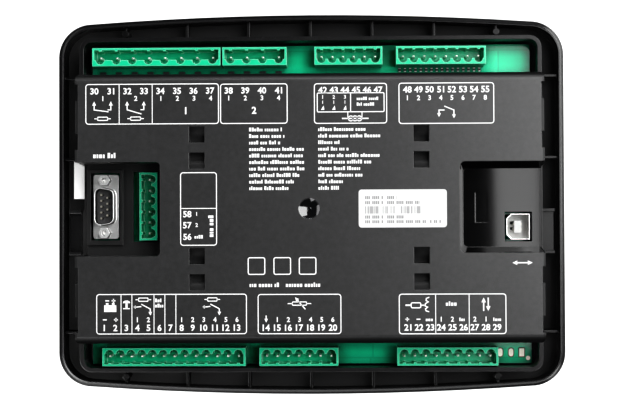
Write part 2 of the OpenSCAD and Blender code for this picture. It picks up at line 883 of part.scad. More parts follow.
// Switches on the board's front, one behind each key
module key_switches() {
    places = concat([for (x = KEY_X) [x, key_z]], [for (p = NAV) [nav_x + p[0], nav_z + p[1]]]);
    color("#23262a")
        for (p = places) {
            difference() {
                block(p[0] - switch_w / 2, p[0] + switch_w / 2, switch_top, board_front,
                    p[1] - switch_w / 2, p[1] + switch_w / 2);
                rod(p[0], p[1], switch_top - 1, board_front - 0.8, bore_d);
            }
        }
}

// Shape shared by every key: cap, retaining flange and stem
module key_body(x, z, w, h, r) {
    translate([x, 0, z]) {
        slab(front_y - key_proud, wall_y)
            round_box(w, h, r);
        slab(wall_y, wall_y + key_flange_t)
            round_box(w + 2 * key_flange, h + 2 * key_flange, r + key_flange);
        rod(0, 0, wall_y + key_flange_t, switch_top + stem_in, stem_d);
    }
}

module mode_key(i, shade) {
    color(shade)
        key_body(KEY_X[i], key_z, key_w, key_h, key_r);
}

module nav_key(i) {
    color("#6d7276")
        translate([nav_x + NAV[i][0], 0, nav_z + NAV[i][1]]) {
            rod(0, 0, front_y - key_proud, wall_y, nav_d);
            rod(0, 0, wall_y, wall_y + key_flange_t, nav_d + 2 * key_flange);
            rod(0, 0, wall_y + key_flange_t, switch_top + stem_in, stem_d);
        }
}

module key_up() {
    nav_key(0);
}

module key_down() {
    nav_key(1);
}

module key_left() {
    nav_key(2);
}

module key_right() {
    nav_key(3);
}

module key_enter() {
    nav_key(4);
}

module key_stop() {
    mode_key(0, "#9c2a25");
}

module key_manual() {
    mode_key(1, "#6d7276");
}

module key_test() {
    mode_key(2, "#6d7276");
}

module key_auto() {
    mode_key(3, "#6d7276");
}

module key_mute() {
    mode_key(4, "#6d7276");
}

module key_mains() {
    mode_key(5, "#6d7276");
}

module key_generator() {
    mode_key(6, "#6d7276");
}

module key_start() {
    mode_key(7, "#2d7a43");
}

// Pin places of a terminal, before it is put on the board
function pin_x(t) = [for (i = [0:t[0] - 1]) (i - (t[0] - 1) / 2) * t[1]];

module place(t) {
    translate([t[3], 0, t[4]])
        rotate([0, t[5], 0])
            children();
}

// Terminal shell: scalloped wall towards the cover, keyed wall away from it
module terminal(t) {
    l = (t[0] - 1) * t[1] + 2 * t[2];
    color("#1f9a6c")
        place(t) {
            slab(board_y, board_y + term_floor)
                difference() {
                    translate([-l / 2, -cover_row])
                        square([l, term_w]);
                    for (x = pin_x(t)) {
                        translate([x, 0])
                            square(pin_w, center = true);
                    }
                }
            slab(board_y + term_floor, board_y + term_h)
                difference() {
                    translate([-l / 2, -cover_row])
                        square([l, term_w]);
                    difference() {
                        union() {
                            translate([-l / 2 + term_t, -1.2])
                                square([l - 2 * term_t, wall_row - term_t + 1.2]);
                            for (x = pin_x(t)) {
                                translate([x, -1.2])
                                    circle(r = scallop_r);
                            }
                        }
                        for (x = pin_x(t)) {
                            translate([x - 0.6, wall_row - term_t - 0.6])
                                square([1.2, 1]);
                        }
                    }
                }
        }
}

module term_generator() {
    terminal(TERMS[0]);
}

module term_mains() {
    terminal(TERMS[1]);
}

module term_current() {
    terminal(TERMS[2]);
}

module term_inputs() {
    terminal(TERMS[3]);
}

module term_supply() {
    terminal(TERMS[4]);
}

module term_senders() {
    terminal(TERMS[5]);
}

module term_data() {
    terminal(TERMS[6]);
}

module term_bus() {
    terminal(TERMS[7]);
}

// Square pins of every terminal, soldered through the board
module terminal_pins() {
    tip = 0.6;
    color("#c9ccc8")
        for (t = TERMS) {
            place(t) {
                for (x = pin_x(t)) {
                    block(x - pin_w / 2, x + pin_w / 2, board_front - tail, board_y + pin_h - tip,
                        -pin_w / 2, pin_w / 2);
                    translate([x, board_y + pin_h - tip, 0])
                        rotate([-90, 45, 0])
                            cylinder(d1 = pin_w * sqrt(2), d2 = pin_w * 0.7, h = tip, $fn = 4);
                }
            }
        }
}

// Pin places of the serial port, five in the outer row and four in the inner row
PORT_PINS = concat(
    [for (i = [-2:2]) [port_mid + port_rows / 2, port_z + i * port_pitch]],
    [for (i = [-1.5:1.5]) [port_mid - port_rows / 2, port_z + i * port_pitch]]
);
port_pin_d = 1;

// Outline of the serial port's shell, wide side outwards
module port_outline(margin) {
    w = port_shell_w / 2 - margin;
    a = port_shell_l / 2 - margin;
    b = a - 1.5;
    r = port_shell_r - margin;
    tilt = atan((a - b) / (2 * (w - r)));
    arcs = [
        [w - r, a - r, 0, 90 + tilt],
        [r - w, b - r, 90 + tilt, 180],
        [r - w, r - b, 180, 270 - tilt],
        [w - r, r - a, 270 - tilt, 360]
    ];
    translate([port_mid, port_z])
        polygon([
            for (c = arcs)
                for (i = [0:6])
                    let (turn = c[2] + (c[3] - c[2]) * i / 6)
                        [c[0] + r * cos(turn), c[1] + r * sin(turn)]
        ]);
}

// Moulded body of the serial port on the board
module port_body() {
    color("#1c1d1f")
        difference() {
            union() {
                slab(board_y, flange_back - 0.8)
                    translate([port_mid, port_z])
                        square([flange_w - 1.4, flange_l - 0.8], center = true);
                slab(flange_back - 0.8, flange_back)
                    port_outline(0.8);
            }
            slab(board_y - 1, flange_back + 1)
                for (p = PORT_PINS) {
                    translate(p)
                        square(port_pin_d + 0.6, center = true);
                }
            for (s = [-1, 1]) {
                rod(port_mid, port_z + s * jack_gap / 2, flange_back - 4, flange_back, 3.4);
            }
        }
}

// Plated flange and shell of the serial port
module port_shell() {
    color("#c7c9c6") {
        slab(flange_back - 0.8, flange_back)
            difference() {
                translate([port_mid, port_z])
                    round_box(flange_w, flange_l, 1.4);
                port_outline(0.5);
                for (s = [-1, 1]) {
                    translate([port_mid, port_z + s * jack_gap / 2])
                        circle(d = 3.4);
                }
            }
        slab(flange_back, flange_back + 5.9)
            difference() {
                port_outline(0);
                port_outline(0.5);
            }
    }
}

module port_pins() {
    collar = (port_pin_d + 0.6) / 2;
    color("#d6c27a")
        for (p = PORT_PINS) {
            rod(p[0], p[1], board_front - tail, flange_back + 5, port_pin_d);
            block(p[0] - collar, p[0] + collar, flange_back - 3, flange_back - 2.6, p[1] - collar,
                p[1] + collar);
        }
}

// Threaded posts that a plug screws to
module jack_posts() {
    color("#cfd1cf")
        for (s = [-1, 1]) {
            z = port_z + s * jack_gap / 2;
            difference() {
                union() {
                    translate([port_mid, flange_back + jack_l, z])
                        rotate([90, 0, 0])
                            cylinder(d = jack_af / cos(30), h = jack_l, $fn = 6);
                    rod(port_mid, z, flange_back - 3.4, flange_back, 2.8);
                }
                rod(port_mid, z, flange_back + jack_l - 5, flange_back + jack_l + 1, 2.6);
            }
        }
}

// Outline of the USB shell, bevelled at its inner side
module usb_outline(margin) {
    w = usb_w / 2 - margin;
    h = usb_h / 2 - margin;
    b = 2.2;
    translate([-usb_mid, usb_z])
        polygon([[-w, -h], [w - b, -h], [w, -h + b], [w, h - b], [w - b, h], [-w, h]]);
}

module usb_shell() {
    color("#cdcfce")
        slab(board_y, usb_floor - usb_sink)
            difference() {
                usb_outline(0);
                usb_outline(usb_t);
            }
}

// White insert of the USB port with its tongue
module usb_insert() {
    color("#eef0ee") {
        slab(board_y, board_y + 8)
            usb_outline(usb_t);
        block(-usb_mid - 1.6, -usb_mid + 1.6, board_y + 8, usb_floor - usb_sink - 1.2, usb_z - 2.8,
            usb_z + 2.8);
    }
}

module usb_contacts() {
    color("#c9a64e")
        for (x = [-1.85, 1.6]) {
            for (z = [-1.25, 1.25]) {
                block(-usb_mid + x, -usb_mid + x + 0.25, board_y + 8, usb_floor - usb_sink - 2,
                    usb_z + z - 0.5, usb_z + z + 0.5);
            }
        }
}

// Board with holes for the pins and screws
module main_board() {
    color("#1d5c3a")
        slab(board_front, board_y)
            difference() {
                square([board_w, board_h], center = true);
                for (t = TERMS) {
                    translate([t[3], t[4]])
                        rotate(-t[5])
                            for (x = pin_x(t)) {
                                translate([x, 0])
                                    square(pin_w + 0.3, center = true);
                            }
                }
                for (p = PORT_PINS) {
                    translate(p)
                        circle(d = port_pin_d + 0.6);
                }
                for (p = SCREWS) {
                    translate(p)
                        circle(d = screw_d + 2 * screw_gap);
                }
            }
}

// Screws that hold the board on the housing's posts
module board_screws() {
    color("#a9acad")
        for (p = SCREWS) {
            rod(p[0], p[1], board_y, board_y + 1.8, head_d);
            rod(p[0], p[1], wall_y + 1, board_y, screw_d);
        }
}

// White card that slides in behind the overlay, its end folded up as a pull tab
module label_card() {
    wall_top = serial_z + serial_h / 2 - card_gap;
    rib_low = mid_rib_z - rib_t / 2 - card_gap;
    fold_in = body_w / 2 + card_gap;
    color("#f2f2ee") {
        slab(wall_y, wall_y + card_t)
            difference() {
                translate([card_x, card_z])
                    square([card_out - card_x, card_h]);
                for (i = [0:3]) {
                    translate([card_light_x, card_z + card_h / 2 + (i - 1.5) * card_light_step])
                        circle(d = pipe_d + 2 * pipe_gap);
                }
            }
        block(card_out - card_t, card_out, wall_y, tab_y, card_z, rib_low);
        block(fold_in, card_out, tab_y - card_t, tab_y, card_z, rib_low);
        block(fold_in - 1, fold_in + 1, tab_y - card_t, tab_y, card_z, wall_top);
    }
}

module rating_label() {
    color("#f4f4f2")
        slab(cover_back, cover_back + plate_t)
            translate([plate_x, plate_z])
                round_box(plate_w, plate_h, 1.4);
}

// Parts on the board under the cover
module relays() {
    color("#2a2d33")
        for (i = [-2.5:2.5]) {
            block(i * relay_step - relay_w / 2, i * relay_step + relay_w / 2, board_y, board_y + relay_d,
                relay_z - relay_h / 2, relay_z + relay_h / 2);
        }
}

module capacitors() {
    color("#2b3648")
        for (i = [0:2]) {
            rod(cap_x + i * cap_step, cover_top - cap_in, board_y, board_y + cap_l, cap_d);
        }
}

module current_cores() {
    color("#33363a")
        for (i = [0:2]) {
            x = sense_x - i * sense_step;
            z = cover_top - sense_in;
            difference() {
                block(x - sense_w / 2, x + sense_w / 2, board_y, board_y + sense_d, z - sense_h, z);
                translate([x, board_y + sense_d * 0.57, z - sense_h - 1])
                    cylinder(d = sense_hole, h = sense_h + 2);
            }
        }
}

module processor() {
    color("#1a1b1d")
        block(-chip_w / 2, chip_w / 2, board_y, board_y + chip_d, chip_z - chip_w / 2,
            chip_z + chip_w / 2);
}

module power_core() {
    core_x = serial_in - cover_t - core_gap - core_w / 2;
    color("#b8932f")
        block(core_x - core_w / 2, core_x + core_w / 2, board_y, board_y + core_d, core_z - core_w / 2,
            core_z + core_w / 2);
}

module sounder() {
    color("#17181a")
        rod(sounder_x, sounder_z, board_y, board_y + sounder_h, sounder_d);
}

front_housing();
rear_cover();
front_overlay();
display_lens();
display_glass();
display_tray();
light_pipes();
lamps();
key_switches();
main_board();
board_screws();
term_generator();
term_mains();
term_current();
term_inputs();
term_supply();
term_senders();
term_data();
term_bus();
terminal_pins();
port_body();
port_shell();
port_pins();
jack_posts();
usb_shell();
usb_insert();
usb_contacts();
label_card();
rating_label();
relays();
capacitors();
current_cores();
processor();
power_core();
sounder();
key_up();
key_down();
key_left();
key_right();
key_enter();
key_stop();
key_manual();
key_test();
key_auto();
key_mute();
key_start();
key_mains();
key_generator();
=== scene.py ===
import math
import random

import bmesh
import bpy
from mathutils import Matrix, Vector


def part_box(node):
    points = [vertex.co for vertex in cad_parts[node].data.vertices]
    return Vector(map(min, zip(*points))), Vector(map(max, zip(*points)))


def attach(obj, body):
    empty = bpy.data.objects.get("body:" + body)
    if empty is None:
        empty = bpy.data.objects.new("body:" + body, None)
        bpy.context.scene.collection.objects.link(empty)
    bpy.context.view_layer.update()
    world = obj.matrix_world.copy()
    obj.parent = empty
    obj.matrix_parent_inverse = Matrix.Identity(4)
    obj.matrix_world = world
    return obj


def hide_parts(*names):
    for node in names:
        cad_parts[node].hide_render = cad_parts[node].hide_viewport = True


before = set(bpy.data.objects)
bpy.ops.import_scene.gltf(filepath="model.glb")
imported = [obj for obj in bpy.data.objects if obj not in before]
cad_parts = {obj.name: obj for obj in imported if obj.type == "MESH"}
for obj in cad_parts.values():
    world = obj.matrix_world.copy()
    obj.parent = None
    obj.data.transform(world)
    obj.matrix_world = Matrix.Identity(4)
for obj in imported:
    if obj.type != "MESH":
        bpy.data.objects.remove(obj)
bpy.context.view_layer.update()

# Studio: the camera stands square to the rear cover, a little off its middle. One large soft
# panel with a dimmer strip at its inner edge lights the cover from the right, and weaker ones
# lift the edges, the sides and the front.
MM = 0.001
PHOTO_WIDTH = 630
FOCAL_PIXELS = 1453.9
VIEW_DISTANCE = 665.3 * MM
VIEW_AIM = Vector((-2.7, 27.0, -0.74)) * MM
VIEW_YAW, VIEW_PITCH, VIEW_ROLL = -0.02386, -0.01942, 0.00411
SEEN_FROM_REAR = Matrix(((-1, 0, 0), (0, 0, 1), (0, 1, 0)))
scene = bpy.context.scene
scene.view_settings.view_transform = "Standard"
scene.view_settings.look = "High Contrast"

camera = bpy.data.objects.new("camera", bpy.data.cameras.new("camera"))
camera.data.sensor_width = 36
camera.data.lens = camera.data.sensor_width * FOCAL_PIXELS / PHOTO_WIDTH
camera.data.clip_start = 0.01
turn = (
    Matrix.Rotation(VIEW_ROLL, 3, "Z")
    @ Matrix.Rotation(VIEW_PITCH, 3, "X")
    @ Matrix.Rotation(VIEW_YAW, 3, "Y")
)
facing = (turn @ SEEN_FROM_REAR).transposed().to_4x4()
camera.matrix_world = (
    Matrix.Translation(VIEW_AIM) @ facing @ Matrix.Translation((0, 0, VIEW_DISTANCE))
)
scene.collection.objects.link(camera)
scene.camera = camera


def soft_panel(name, place, size, power):
    lamp = bpy.data.lights.new(name, "AREA")
    lamp.shape = "RECTANGLE"
    lamp.size, lamp.size_y = size
    lamp.energy = power
    holder = bpy.data.objects.new(name, lamp)
    holder.location = place
    holder.rotation_mode = "QUATERNION"
    holder.rotation_quaternion = (-Vector(place)).to_track_quat("-Z", "Y")
    holder.visible_camera = False
    scene.collection.objects.link(holder)
    return holder


# Each panel's middle and size in metres, and its power in watts; all face the part.
soft_panel("panel_key", (-0.719, 1.13, 0.3), (1.02, 1.0), 17.2)
soft_panel("panel_key_edge", (-0.254, 1.408, 0.3), (0.066, 1.0), 0.62)
soft_panel("panel_left", (1.0, 0.9, 0.2), (0.6, 1.0), 4)
soft_panel("panel_corner", (0.9, 0.35, 0.8), (0.3, 0.9), 1.5)
soft_panel("panel_low", (0.5, 0.6, -0.75), (1.0, 0.4), 3)
panel_top = soft_panel("panel_top", (-0.1, 0.9, 1.1), (0.8, 0.4), 7)
soft_panel("panel_front", (0.6, -1.4, 0.7), (1.2, 1.0), 30)
soft_panel("panel_front_low", (-1.0, -1.1, 0.1), (0.7, 1.0), 10)
soft_panel("panel_side_right", (-1.3, -0.33, 0.0), (0.6, 1.0), 7)
soft_panel("panel_side_left", (1.3, -0.33, 0.0), (0.6, 1.0), 7)

surround = bpy.data.worlds.new("surround")
surround.use_nodes = True
surround_tree = surround.node_tree
seen_white = surround_tree.nodes["Background"]
seen_white.inputs["Color"].default_value = (1, 1, 1, 1)
fill_light = surround_tree.nodes.new("ShaderNodeBackground")
fill_light.inputs["Color"].default_value = (0.92, 0.96, 1, 1)
fill_light.inputs["Strength"].default_value = 0.045
ray = surround_tree.nodes.new("ShaderNodeLightPath")
either = surround_tree.nodes.new("ShaderNodeMixShader")
surround_tree.links.new(ray.outputs["Is Camera Ray"], either.inputs["Fac"])
surround_tree.links.new(fill_light.outputs[0], either.inputs[1])
surround_tree.links.new(seen_white.outputs[0], either.inputs[2])
surround_tree.links.new(either.outputs[0], surround_tree.nodes["World Output"].inputs["Surface"])
scene.world = surround


# Front housing: one moulding in black plastic, satin all over, with the rim that seats on
# the panel, the ribbed channel behind it and the walls that pass through the cut-out.
class Shade:
    """One output of a material's node, so that masks can be written as plain maths."""

    def __init__(self, finish, out):
        self.finish, self.out = finish, out

    def maths(self, operation, first, second=0.0):
        return self.finish.node("ShaderNodeMath", {"operation": operation}, {0: first, 1: second})

    def __add__(self, other):
        return self.maths("ADD", self, other)

    def __sub__(self, other):
        return self.maths("SUBTRACT", self, other)

    def __rsub__(self, other):
        return self.maths("SUBTRACT", other, self)

    def __mul__(self, other):
        return self.maths("MULTIPLY", self, other)

    def __truediv__(self, other):
        return self.maths("DIVIDE", self, other)

    def __pow__(self, other):
        return self.maths("POWER", self, other)

    def __gt__(self, other):
        return self.maths("GREATER_THAN", self, other)

    def __lt__(self, other):
        return self.maths("LESS_THAN", self, other)

    def __or__(self, other):
        return self.maths("MAXIMUM", self, other)

    def __mod__(self, other):
        return self.maths("FLOORED_MODULO", self, other)

    def __abs__(self):
        return self.maths("ABSOLUTE", self)

    def __floor__(self):
        return self.maths("FLOOR", self)

    __radd__ = __add__
    __rmul__ = __mul__


class Finish:
    """A material with one shader. Fixed values go on its sockets, node() adds the rest."""

    def __init__(self, name, **fixed):
        self.material = bpy.data.materials.new(name)
        self.material.use_nodes = True
        self.tree = self.material.node_tree
        self.shader = self.tree.nodes["Principled BSDF"]
        self.wear(**fixed)
        self.place = self.node("ShaderNodeTexCoord", output="Object")
        self.sides = {}

    def node(self, kind, settings=None, sockets=None, output=0):
        made = self.tree.nodes.new(kind)
        for key, value in (settings or {}).items():
            setattr(made, key, value)
        self.join(made, sockets or {})
        return Shade(self, made.outputs[output])

    def join(self, made, sockets):
        for key, value in sockets.items():
            if isinstance(value, Shade):
                self.tree.links.new(value.out, made.inputs[key])
            elif made.inputs[key].type == "RGBA":
                made.inputs[key].default_value = (*value, 1)
            else:
                made.inputs[key].default_value = value

    def noise(self, grain, detail=3.0, stretch=(1, 1, 1)):
        where = self.node(
            "ShaderNodeVectorMath", {"operation": "MULTIPLY"}, {0: self.place, 1: stretch}
        )
        return self.node(
            "ShaderNodeTexNoise", {}, {"Vector": where, "Scale": 1 / grain, "Detail": detail}
        )

    def axis(self, letter):
        if letter not in self.sides:
            self.sides[letter] = self.node("ShaderNodeSeparateXYZ", {}, {0: self.place}, letter)
        return self.sides[letter]

    def within(self, letter, low, high):
        return (self.axis(letter) > low * MM) * (self.axis(letter) < high * MM)

    def chance(self, number):
        return self.node("ShaderNodeTexWhiteNoise", {"noise_dimensions": "1D"}, {"W": number})

    def tint(self, mask, low, high):
        return self.node("ShaderNodeMix", {"data_type": "RGBA"}, {0: mask, 6: low, 7: high}, 2)

    def bump(self, height, depth, strength=1.0, edge=0.0, over=None):
        """Relief over other relief; sharp edges also catch light over the radius given as edge."""
        sockets = {"Height": height, "Distance": depth, "Strength": strength}
        if edge:
            sockets["Normal"] = self.node("ShaderNodeBevel", {"samples": 8}, {"Radius": edge})
        if over:
            sockets["Normal"] = over
        return self.node("ShaderNodeBump", {}, sockets)

    def shelter(self, reach):
        """1 in the open, falling towards 0 in corners and under what overhangs; the finishes mix
        their colour by it to paint shade.
        """
        return self.node("ShaderNodeAmbientOcclusion", {"samples": 6}, {"Distance": reach}, "AO")

    def arris(self, radius):
        """1 along sharp edges, 0 on flat faces; the terminal shells paint highlights along their
        edges by it.
        """
        rounded = self.node("ShaderNodeBevel", {"samples": 8}, {"Radius": radius})
        flat = self.node("ShaderNodeNewGeometry", output="Normal")
        level = self.node(
            "ShaderNodeVectorMath", {"operation": "DOT_PRODUCT"}, {0: rounded, 1: flat}, "Value"
        )
        return self.node("ShaderNodeClamp", {}, {"Value": (1 - level) * 4.0})

    def wear(self, **values):
        for key, value in values.items():
            self.join(self.shader, {key.replace("_", " ").title().replace("Ior", "IOR"): value})


def paint(finish, *names):
    for name in names:
        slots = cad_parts[name].data.materials
        slots.clear()
        slots.append(finish.material)


black_moulding = Finish("black_moulding", ior=1.5, specular_ior_level=0.32)
flow = black_moulding.noise(14 * MM, 2)
grit = black_moulding.noise(0.22 * MM, 2)
CHANNEL_FLOOR, CHANNEL_MOUTH = -13, -4
RIM_WIDE, RIM_DROP, CORNER_R, EDGE_BOW = 2.3, 1.6, 16, 3.7
in_channel = black_moulding.within("Y", CHANNEL_FLOOR, CHANNEL_MOUTH)
half_w, half_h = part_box("front_housing")[1].x / MM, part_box("front_housing")[1].z / MM
bow_half = half_w - CORNER_R
bow_r = (bow_half**2 + EDGE_BOW**2) / (2 * EDGE_BOW)
corner_z = math.sqrt(bow_r**2 - bow_half**2) - bow_r + half_h - CORNER_R
across, up = abs(black_moulding.axis("X")) / MM, abs(black_moulding.axis("Z")) / MM
past_bow = (across**2.0 + (up + (bow_r - half_h)) ** 2.0) ** 0.5 - bow_r
past_corner = ((across - bow_half) ** 2.0 + (up - corner_z) ** 2.0) ** 0.5 - CORNER_R
in_corner = (across > bow_half) * (up > corner_z)
past_edge = in_corner * past_corner + (1 - in_corner) * (across - half_w | past_bow)
rim_round = 1 - (past_edge / RIM_WIDE + 1 | 0.0) ** 2.0
# The colour falls towards near black in corners, recesses and the channel: painted shade. The flow
# tint is the plastic's own tone.
black_moulding.wear(
    base_color=black_moulding.tint(
        black_moulding.shelter(6 * MM) ** 1.2,
        (0.002, 0.002, 0.002),
        black_moulding.tint(flow, (0.011, 0.011, 0.0115), (0.017, 0.017, 0.0175)),
    ),
    roughness=0.2 + 0.08 * flow + 0.06 * grit + 0.4 * in_channel,
    normal=black_moulding.bump(
        rim_round, RIM_DROP * MM, over=black_moulding.bump(grit, 0.012 * MM, 0.4, 0.4 * MM)
    ),
)
paint(black_moulding, "front_housing")

# Rear cover: snap-on moulding in dark grey plastic. The broad face has a fine spark-eroded
# texture, while the sides, the cable-tie slots, the dimple and the USB bay are smooth. It clips
# over the housing's walls.
texture_grey = Finish("texture_grey", ior=1.5, specular_ior_level=0.6, coat_roughness=0.05)
COVER_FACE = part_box("rear_cover")[1].y / MM
FACE_HALF = 106.8
USB_BAY_X, USB_BAY_Z, USB_BAY_LOW = (-107, -64), (-25, 21), 10.8
DIMPLE_X, DIMPLE_Z, DIMPLE_DEEP = (-5.2, 5.2), (-7.8, 2.7), 2
TIE_NEAR, TIE_FAR, TIE_HALF, TIE_DEEP = 47.5, 55.4, 45, 6
eroded = texture_grey.noise(0.45 * MM, 3)
mottle = texture_grey.noise(2.2 * MM, 3)
cloud = texture_grey.noise(30 * MM, 2)
on_face = texture_grey.within("Y", COVER_FACE - 0.2, COVER_FACE + 0.2)
# The face stops short of the cover's sides, so a narrow band at each side takes the painted shade
# below.
on_face = on_face * texture_grey.within("X", -FACE_HALF, FACE_HALF)
in_usb_bay = texture_grey.within("X", *USB_BAY_X) * texture_grey.within("Z", *USB_BAY_Z)
in_usb_bay = in_usb_bay * texture_grey.within("Y", USB_BAY_LOW, COVER_FACE - 0.3)
in_dimple = texture_grey.within("X", *DIMPLE_X) * texture_grey.within("Z", *DIMPLE_Z)
in_dimple = in_dimple * texture_grey.within("Y", COVER_FACE - DIMPLE_DEEP, COVER_FACE - 0.02)
polished = in_usb_bay | in_dimple
in_tie = texture_grey.within("X", TIE_NEAR, TIE_FAR) | texture_grey.within("X", -TIE_FAR, -TIE_NEAR)
in_tie = in_tie * texture_grey.within("Y", COVER_FACE - TIE_DEEP, COVER_FACE - 0.25)
in_tie = in_tie * texture_grey.within("Z", -TIE_HALF, TIE_HALF)
# Off the face the colour is near black: painted shade on the cover's sides, roundings, side margins
# and bays. The cable-tie slots are painted partway to the face's grey, a painted light where light
# falls into them. The face's mottle is the plastic's own tone.
texture_grey.wear(
    base_color=texture_grey.tint(
        on_face | in_tie * 0.6,
        texture_grey.tint(cloud, (0.003, 0.003, 0.0031), (0.006, 0.006, 0.0062)),
        texture_grey.tint(
            eroded * 0.45 + mottle * 0.4 + cloud * 0.15,
            (0.004, 0.004, 0.0042),
            (0.060, 0.060, 0.0605),
        ),
    ),
    roughness=0.42
    + (0.08 * eroded - 0.14 * on_face) * (1 - polished)
    - 0.32 * in_dimple
    - 0.37 * in_usb_bay,
    coat_weight=in_dimple,
    normal=texture_grey.bump(
        eroded, 0.03 * MM, 0.12 + 0.4 * on_face * (1 - polished) - 0.11 * polished, 0.4 * MM
    ),
)
paint(texture_grey, "rear_cover")


# Print on the rear cover: white ink, screen-printed a few hundredths thick. Frames, plain
# numbers and circuit signs mark the terminals, and rows of plain blocks fill the middle.
class Ink:
    """Flat shapes in millimetres, drawn as seen, then thickened into closed solids."""

    def __init__(self):
        self.points, self.faces = [], []

    def add(self, points, faces):
        first = len(self.points)
        self.points += points
        self.faces += [[first + i for i in face] for face in faces]

    def fill(self, *outline):
        self.add(list(outline), [list(range(len(outline)))])

    def bar(self, u0, u1, z0, z1):
        self.fill((u0, z0), (u1, z0), (u1, z1), (u0, z1))

    def circle(self, u, z, radius, count):
        turns = [2 * math.pi * i / count for i in range(count)]
        return [(u + radius * math.cos(t), z + radius * math.sin(t)) for t in turns]

    def disc(self, u, z, radius, count=20):
        self.fill(*self.circle(u, z, radius, count))

    def ring(self, u, z, radius, width, count=24):
        self.line(self.circle(u, z, radius, count), width, True)

    def line(self, path, width, closed=False):
        path = [Vector(p) for p in path]
        count = len(path)
        sides = []
        for i, here in enumerate(path):
            before = path[i - 1] if closed or i else None
            after = path[(i + 1) % count] if closed or i < count - 1 else None
            runs = [(b - a).normalized() for a, b in ((before, here), (here, after)) if a and b]
            across = sum((Vector((-r.y, r.x)) for r in runs), Vector((0, 0))).normalized()
            reach = width / 2 / max(0.4, across.dot(Vector((-runs[0].y, runs[0].x))))
            sides += [tuple(here + across * reach), tuple(here - across * reach)]
        pairs = range(count if closed else count - 1)
        self.add(
            sides,
            [[2 * i, 2 * i + 1, 2 * ((i + 1) % count) + 1, 2 * ((i + 1) % count)] for i in pairs],
        )

    def rounded(self, u0, u1, z0, z1, radius):
        corners = ((u1, z1, 0), (u0, z1, 90), (u0, z0, 180), (u1, z0, 270))
        path = []
        for u, z, start in corners:
            mid_u = u - radius if u == u1 else u + radius
            mid_z = z - radius if z == z1 else z + radius
            for step in range(5):
                angle = math.radians(start + step * 22.5)
                path.append((mid_u + radius * math.cos(angle), mid_z + radius * math.sin(angle)))
        return path

    def frame(self, u0, u1, z0, z1, radius, width):
        self.line(self.rounded(u0, u1, z0, z1, radius), width, True)

    def arrow(self, path, width, head):
        tip, back = Vector(path[-1]), Vector(path[-2])
        along = (tip - back).normalized()
        across = Vector((-along.y, along.x))
        neck, barb = tip - along * head, across * head * 0.48
        self.line([*path[:-1], tuple(neck)], width)
        self.fill(tuple(tip), tuple(neck + barb), tuple(neck - barb))

    def number(self, value, u, z, height, weight=0.026):
        letters = bpy.data.curves.new("numerals", "FONT")
        letters.body = str(value)
        letters.offset = weight
        letters.resolution_u = 3
        holder = bpy.data.objects.new("numerals", letters)
        flat = bmesh.new()
        flat.from_mesh(bpy.data.meshes.new_from_object(holder))
        bmesh.ops.remove_doubles(flat, verts=flat.verts, dist=0.0005)
        low = [min(v.co[k] for v in flat.verts) for k in (0, 1)]
        high = [max(v.co[k] for v in flat.verts) for k in (0, 1)]
        size = height / (high[1] - low[1])
        mid_u, mid_z = ((low[k] + high[k]) / 2 for k in (0, 1))
        self.add(
            [(u + (v.co.x - mid_u) * size, z + (v.co.y - mid_z) * size) for v in flat.verts],
            [[v.index for v in f.verts] for f in flat.faces],
        )
        flat.free()

    def blocks(self, u, z, length, height, upright=False):
        """Runs of blocks in uneven widths and heights, with gaps between the runs."""
        end = length - 0.3 * height
        at = 0.0
        while at < end:
            for _ in range(lettering.randint(3, 8)):
                wide = height * lettering.choice((0.34, 0.5, 0.56))
                tall = height * lettering.choice((0.7, 0.7, 0.72, 1.0))
                if at + wide < length:
                    if upright:
                        self.bar(u - tall, u, z + at, z + at + wide)
                    else:
                        self.bar(u + at, u + at + wide, z, z + tall)
                at += wide + 0.16 * height
            at += 0.4 * height

    def solid(self, name, base, top, finish, body, slot, side=1):
        """Closed prisms from base to top along the depth; side is -1 for print at the rear."""
        made = bmesh.new()
        low = [made.verts.new((side * u * MM, base * MM, z * MM)) for u, z in self.points]
        high = [made.verts.new((side * u * MM, top * MM, z * MM)) for u, z in self.points]
        uses = {}
        for face in self.faces:
            made.faces.new([low[i] for i in face])
            made.faces.new([high[i] for i in reversed(face)])
            for a, b in zip(face, face[1:] + face[:1]):
                uses.setdefault(frozenset((a, b)), []).append((a, b))
        for edges in uses.values():
            if len(edges) == 1:
                a, b = edges[0]
                made.faces.new((low[b], low[a], high[a], high[b]))
        bmesh.ops.recalc_face_normals(made, faces=made.faces)
        mesh = bpy.data.meshes.new(name)
        made.to_mesh(mesh)
        made.free()
        mesh.materials.append(finish.material)
        piece = bpy.data.objects.new(name, mesh)
        scene.collection.objects.link(piece)
        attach(piece, body)


lettering = random.Random(7)
INK_LINE = 0.45
INK_TOP = COVER_FACE + 0.04
NUMBER_TALL, MARK_TALL = 3.0, 2.3
WIDE_PITCH, FINE_PITCH = 7.62, 5.08
rear_ink = Ink()


def contact(ink, u, z, gap, rise, open_by):
    """An open contact with an arrow at either leg, as circuit diagrams draw it."""
    way = 1 if rise > 0 else -1
    ink.arrow([(u + gap * 0.86, z - way * open_by), (u, z), (u, z + rise)], 0.5, 1.9)
    ink.arrow([(u + gap * 0.8, z), (u + gap, z), (u + gap, z + rise)], 0.5, 1.9)


def fuse(ink, u, z, length):
    ink.line([(u - length / 2, z), (u - length * 0.3, z)], 0.45)
    ink.line([(u + length * 0.3, z), (u + length / 2, z)], 0.45)
    ink.frame(u - length * 0.3, u + length * 0.3, z - 0.75, z + 0.75, 0.3, 0.45)


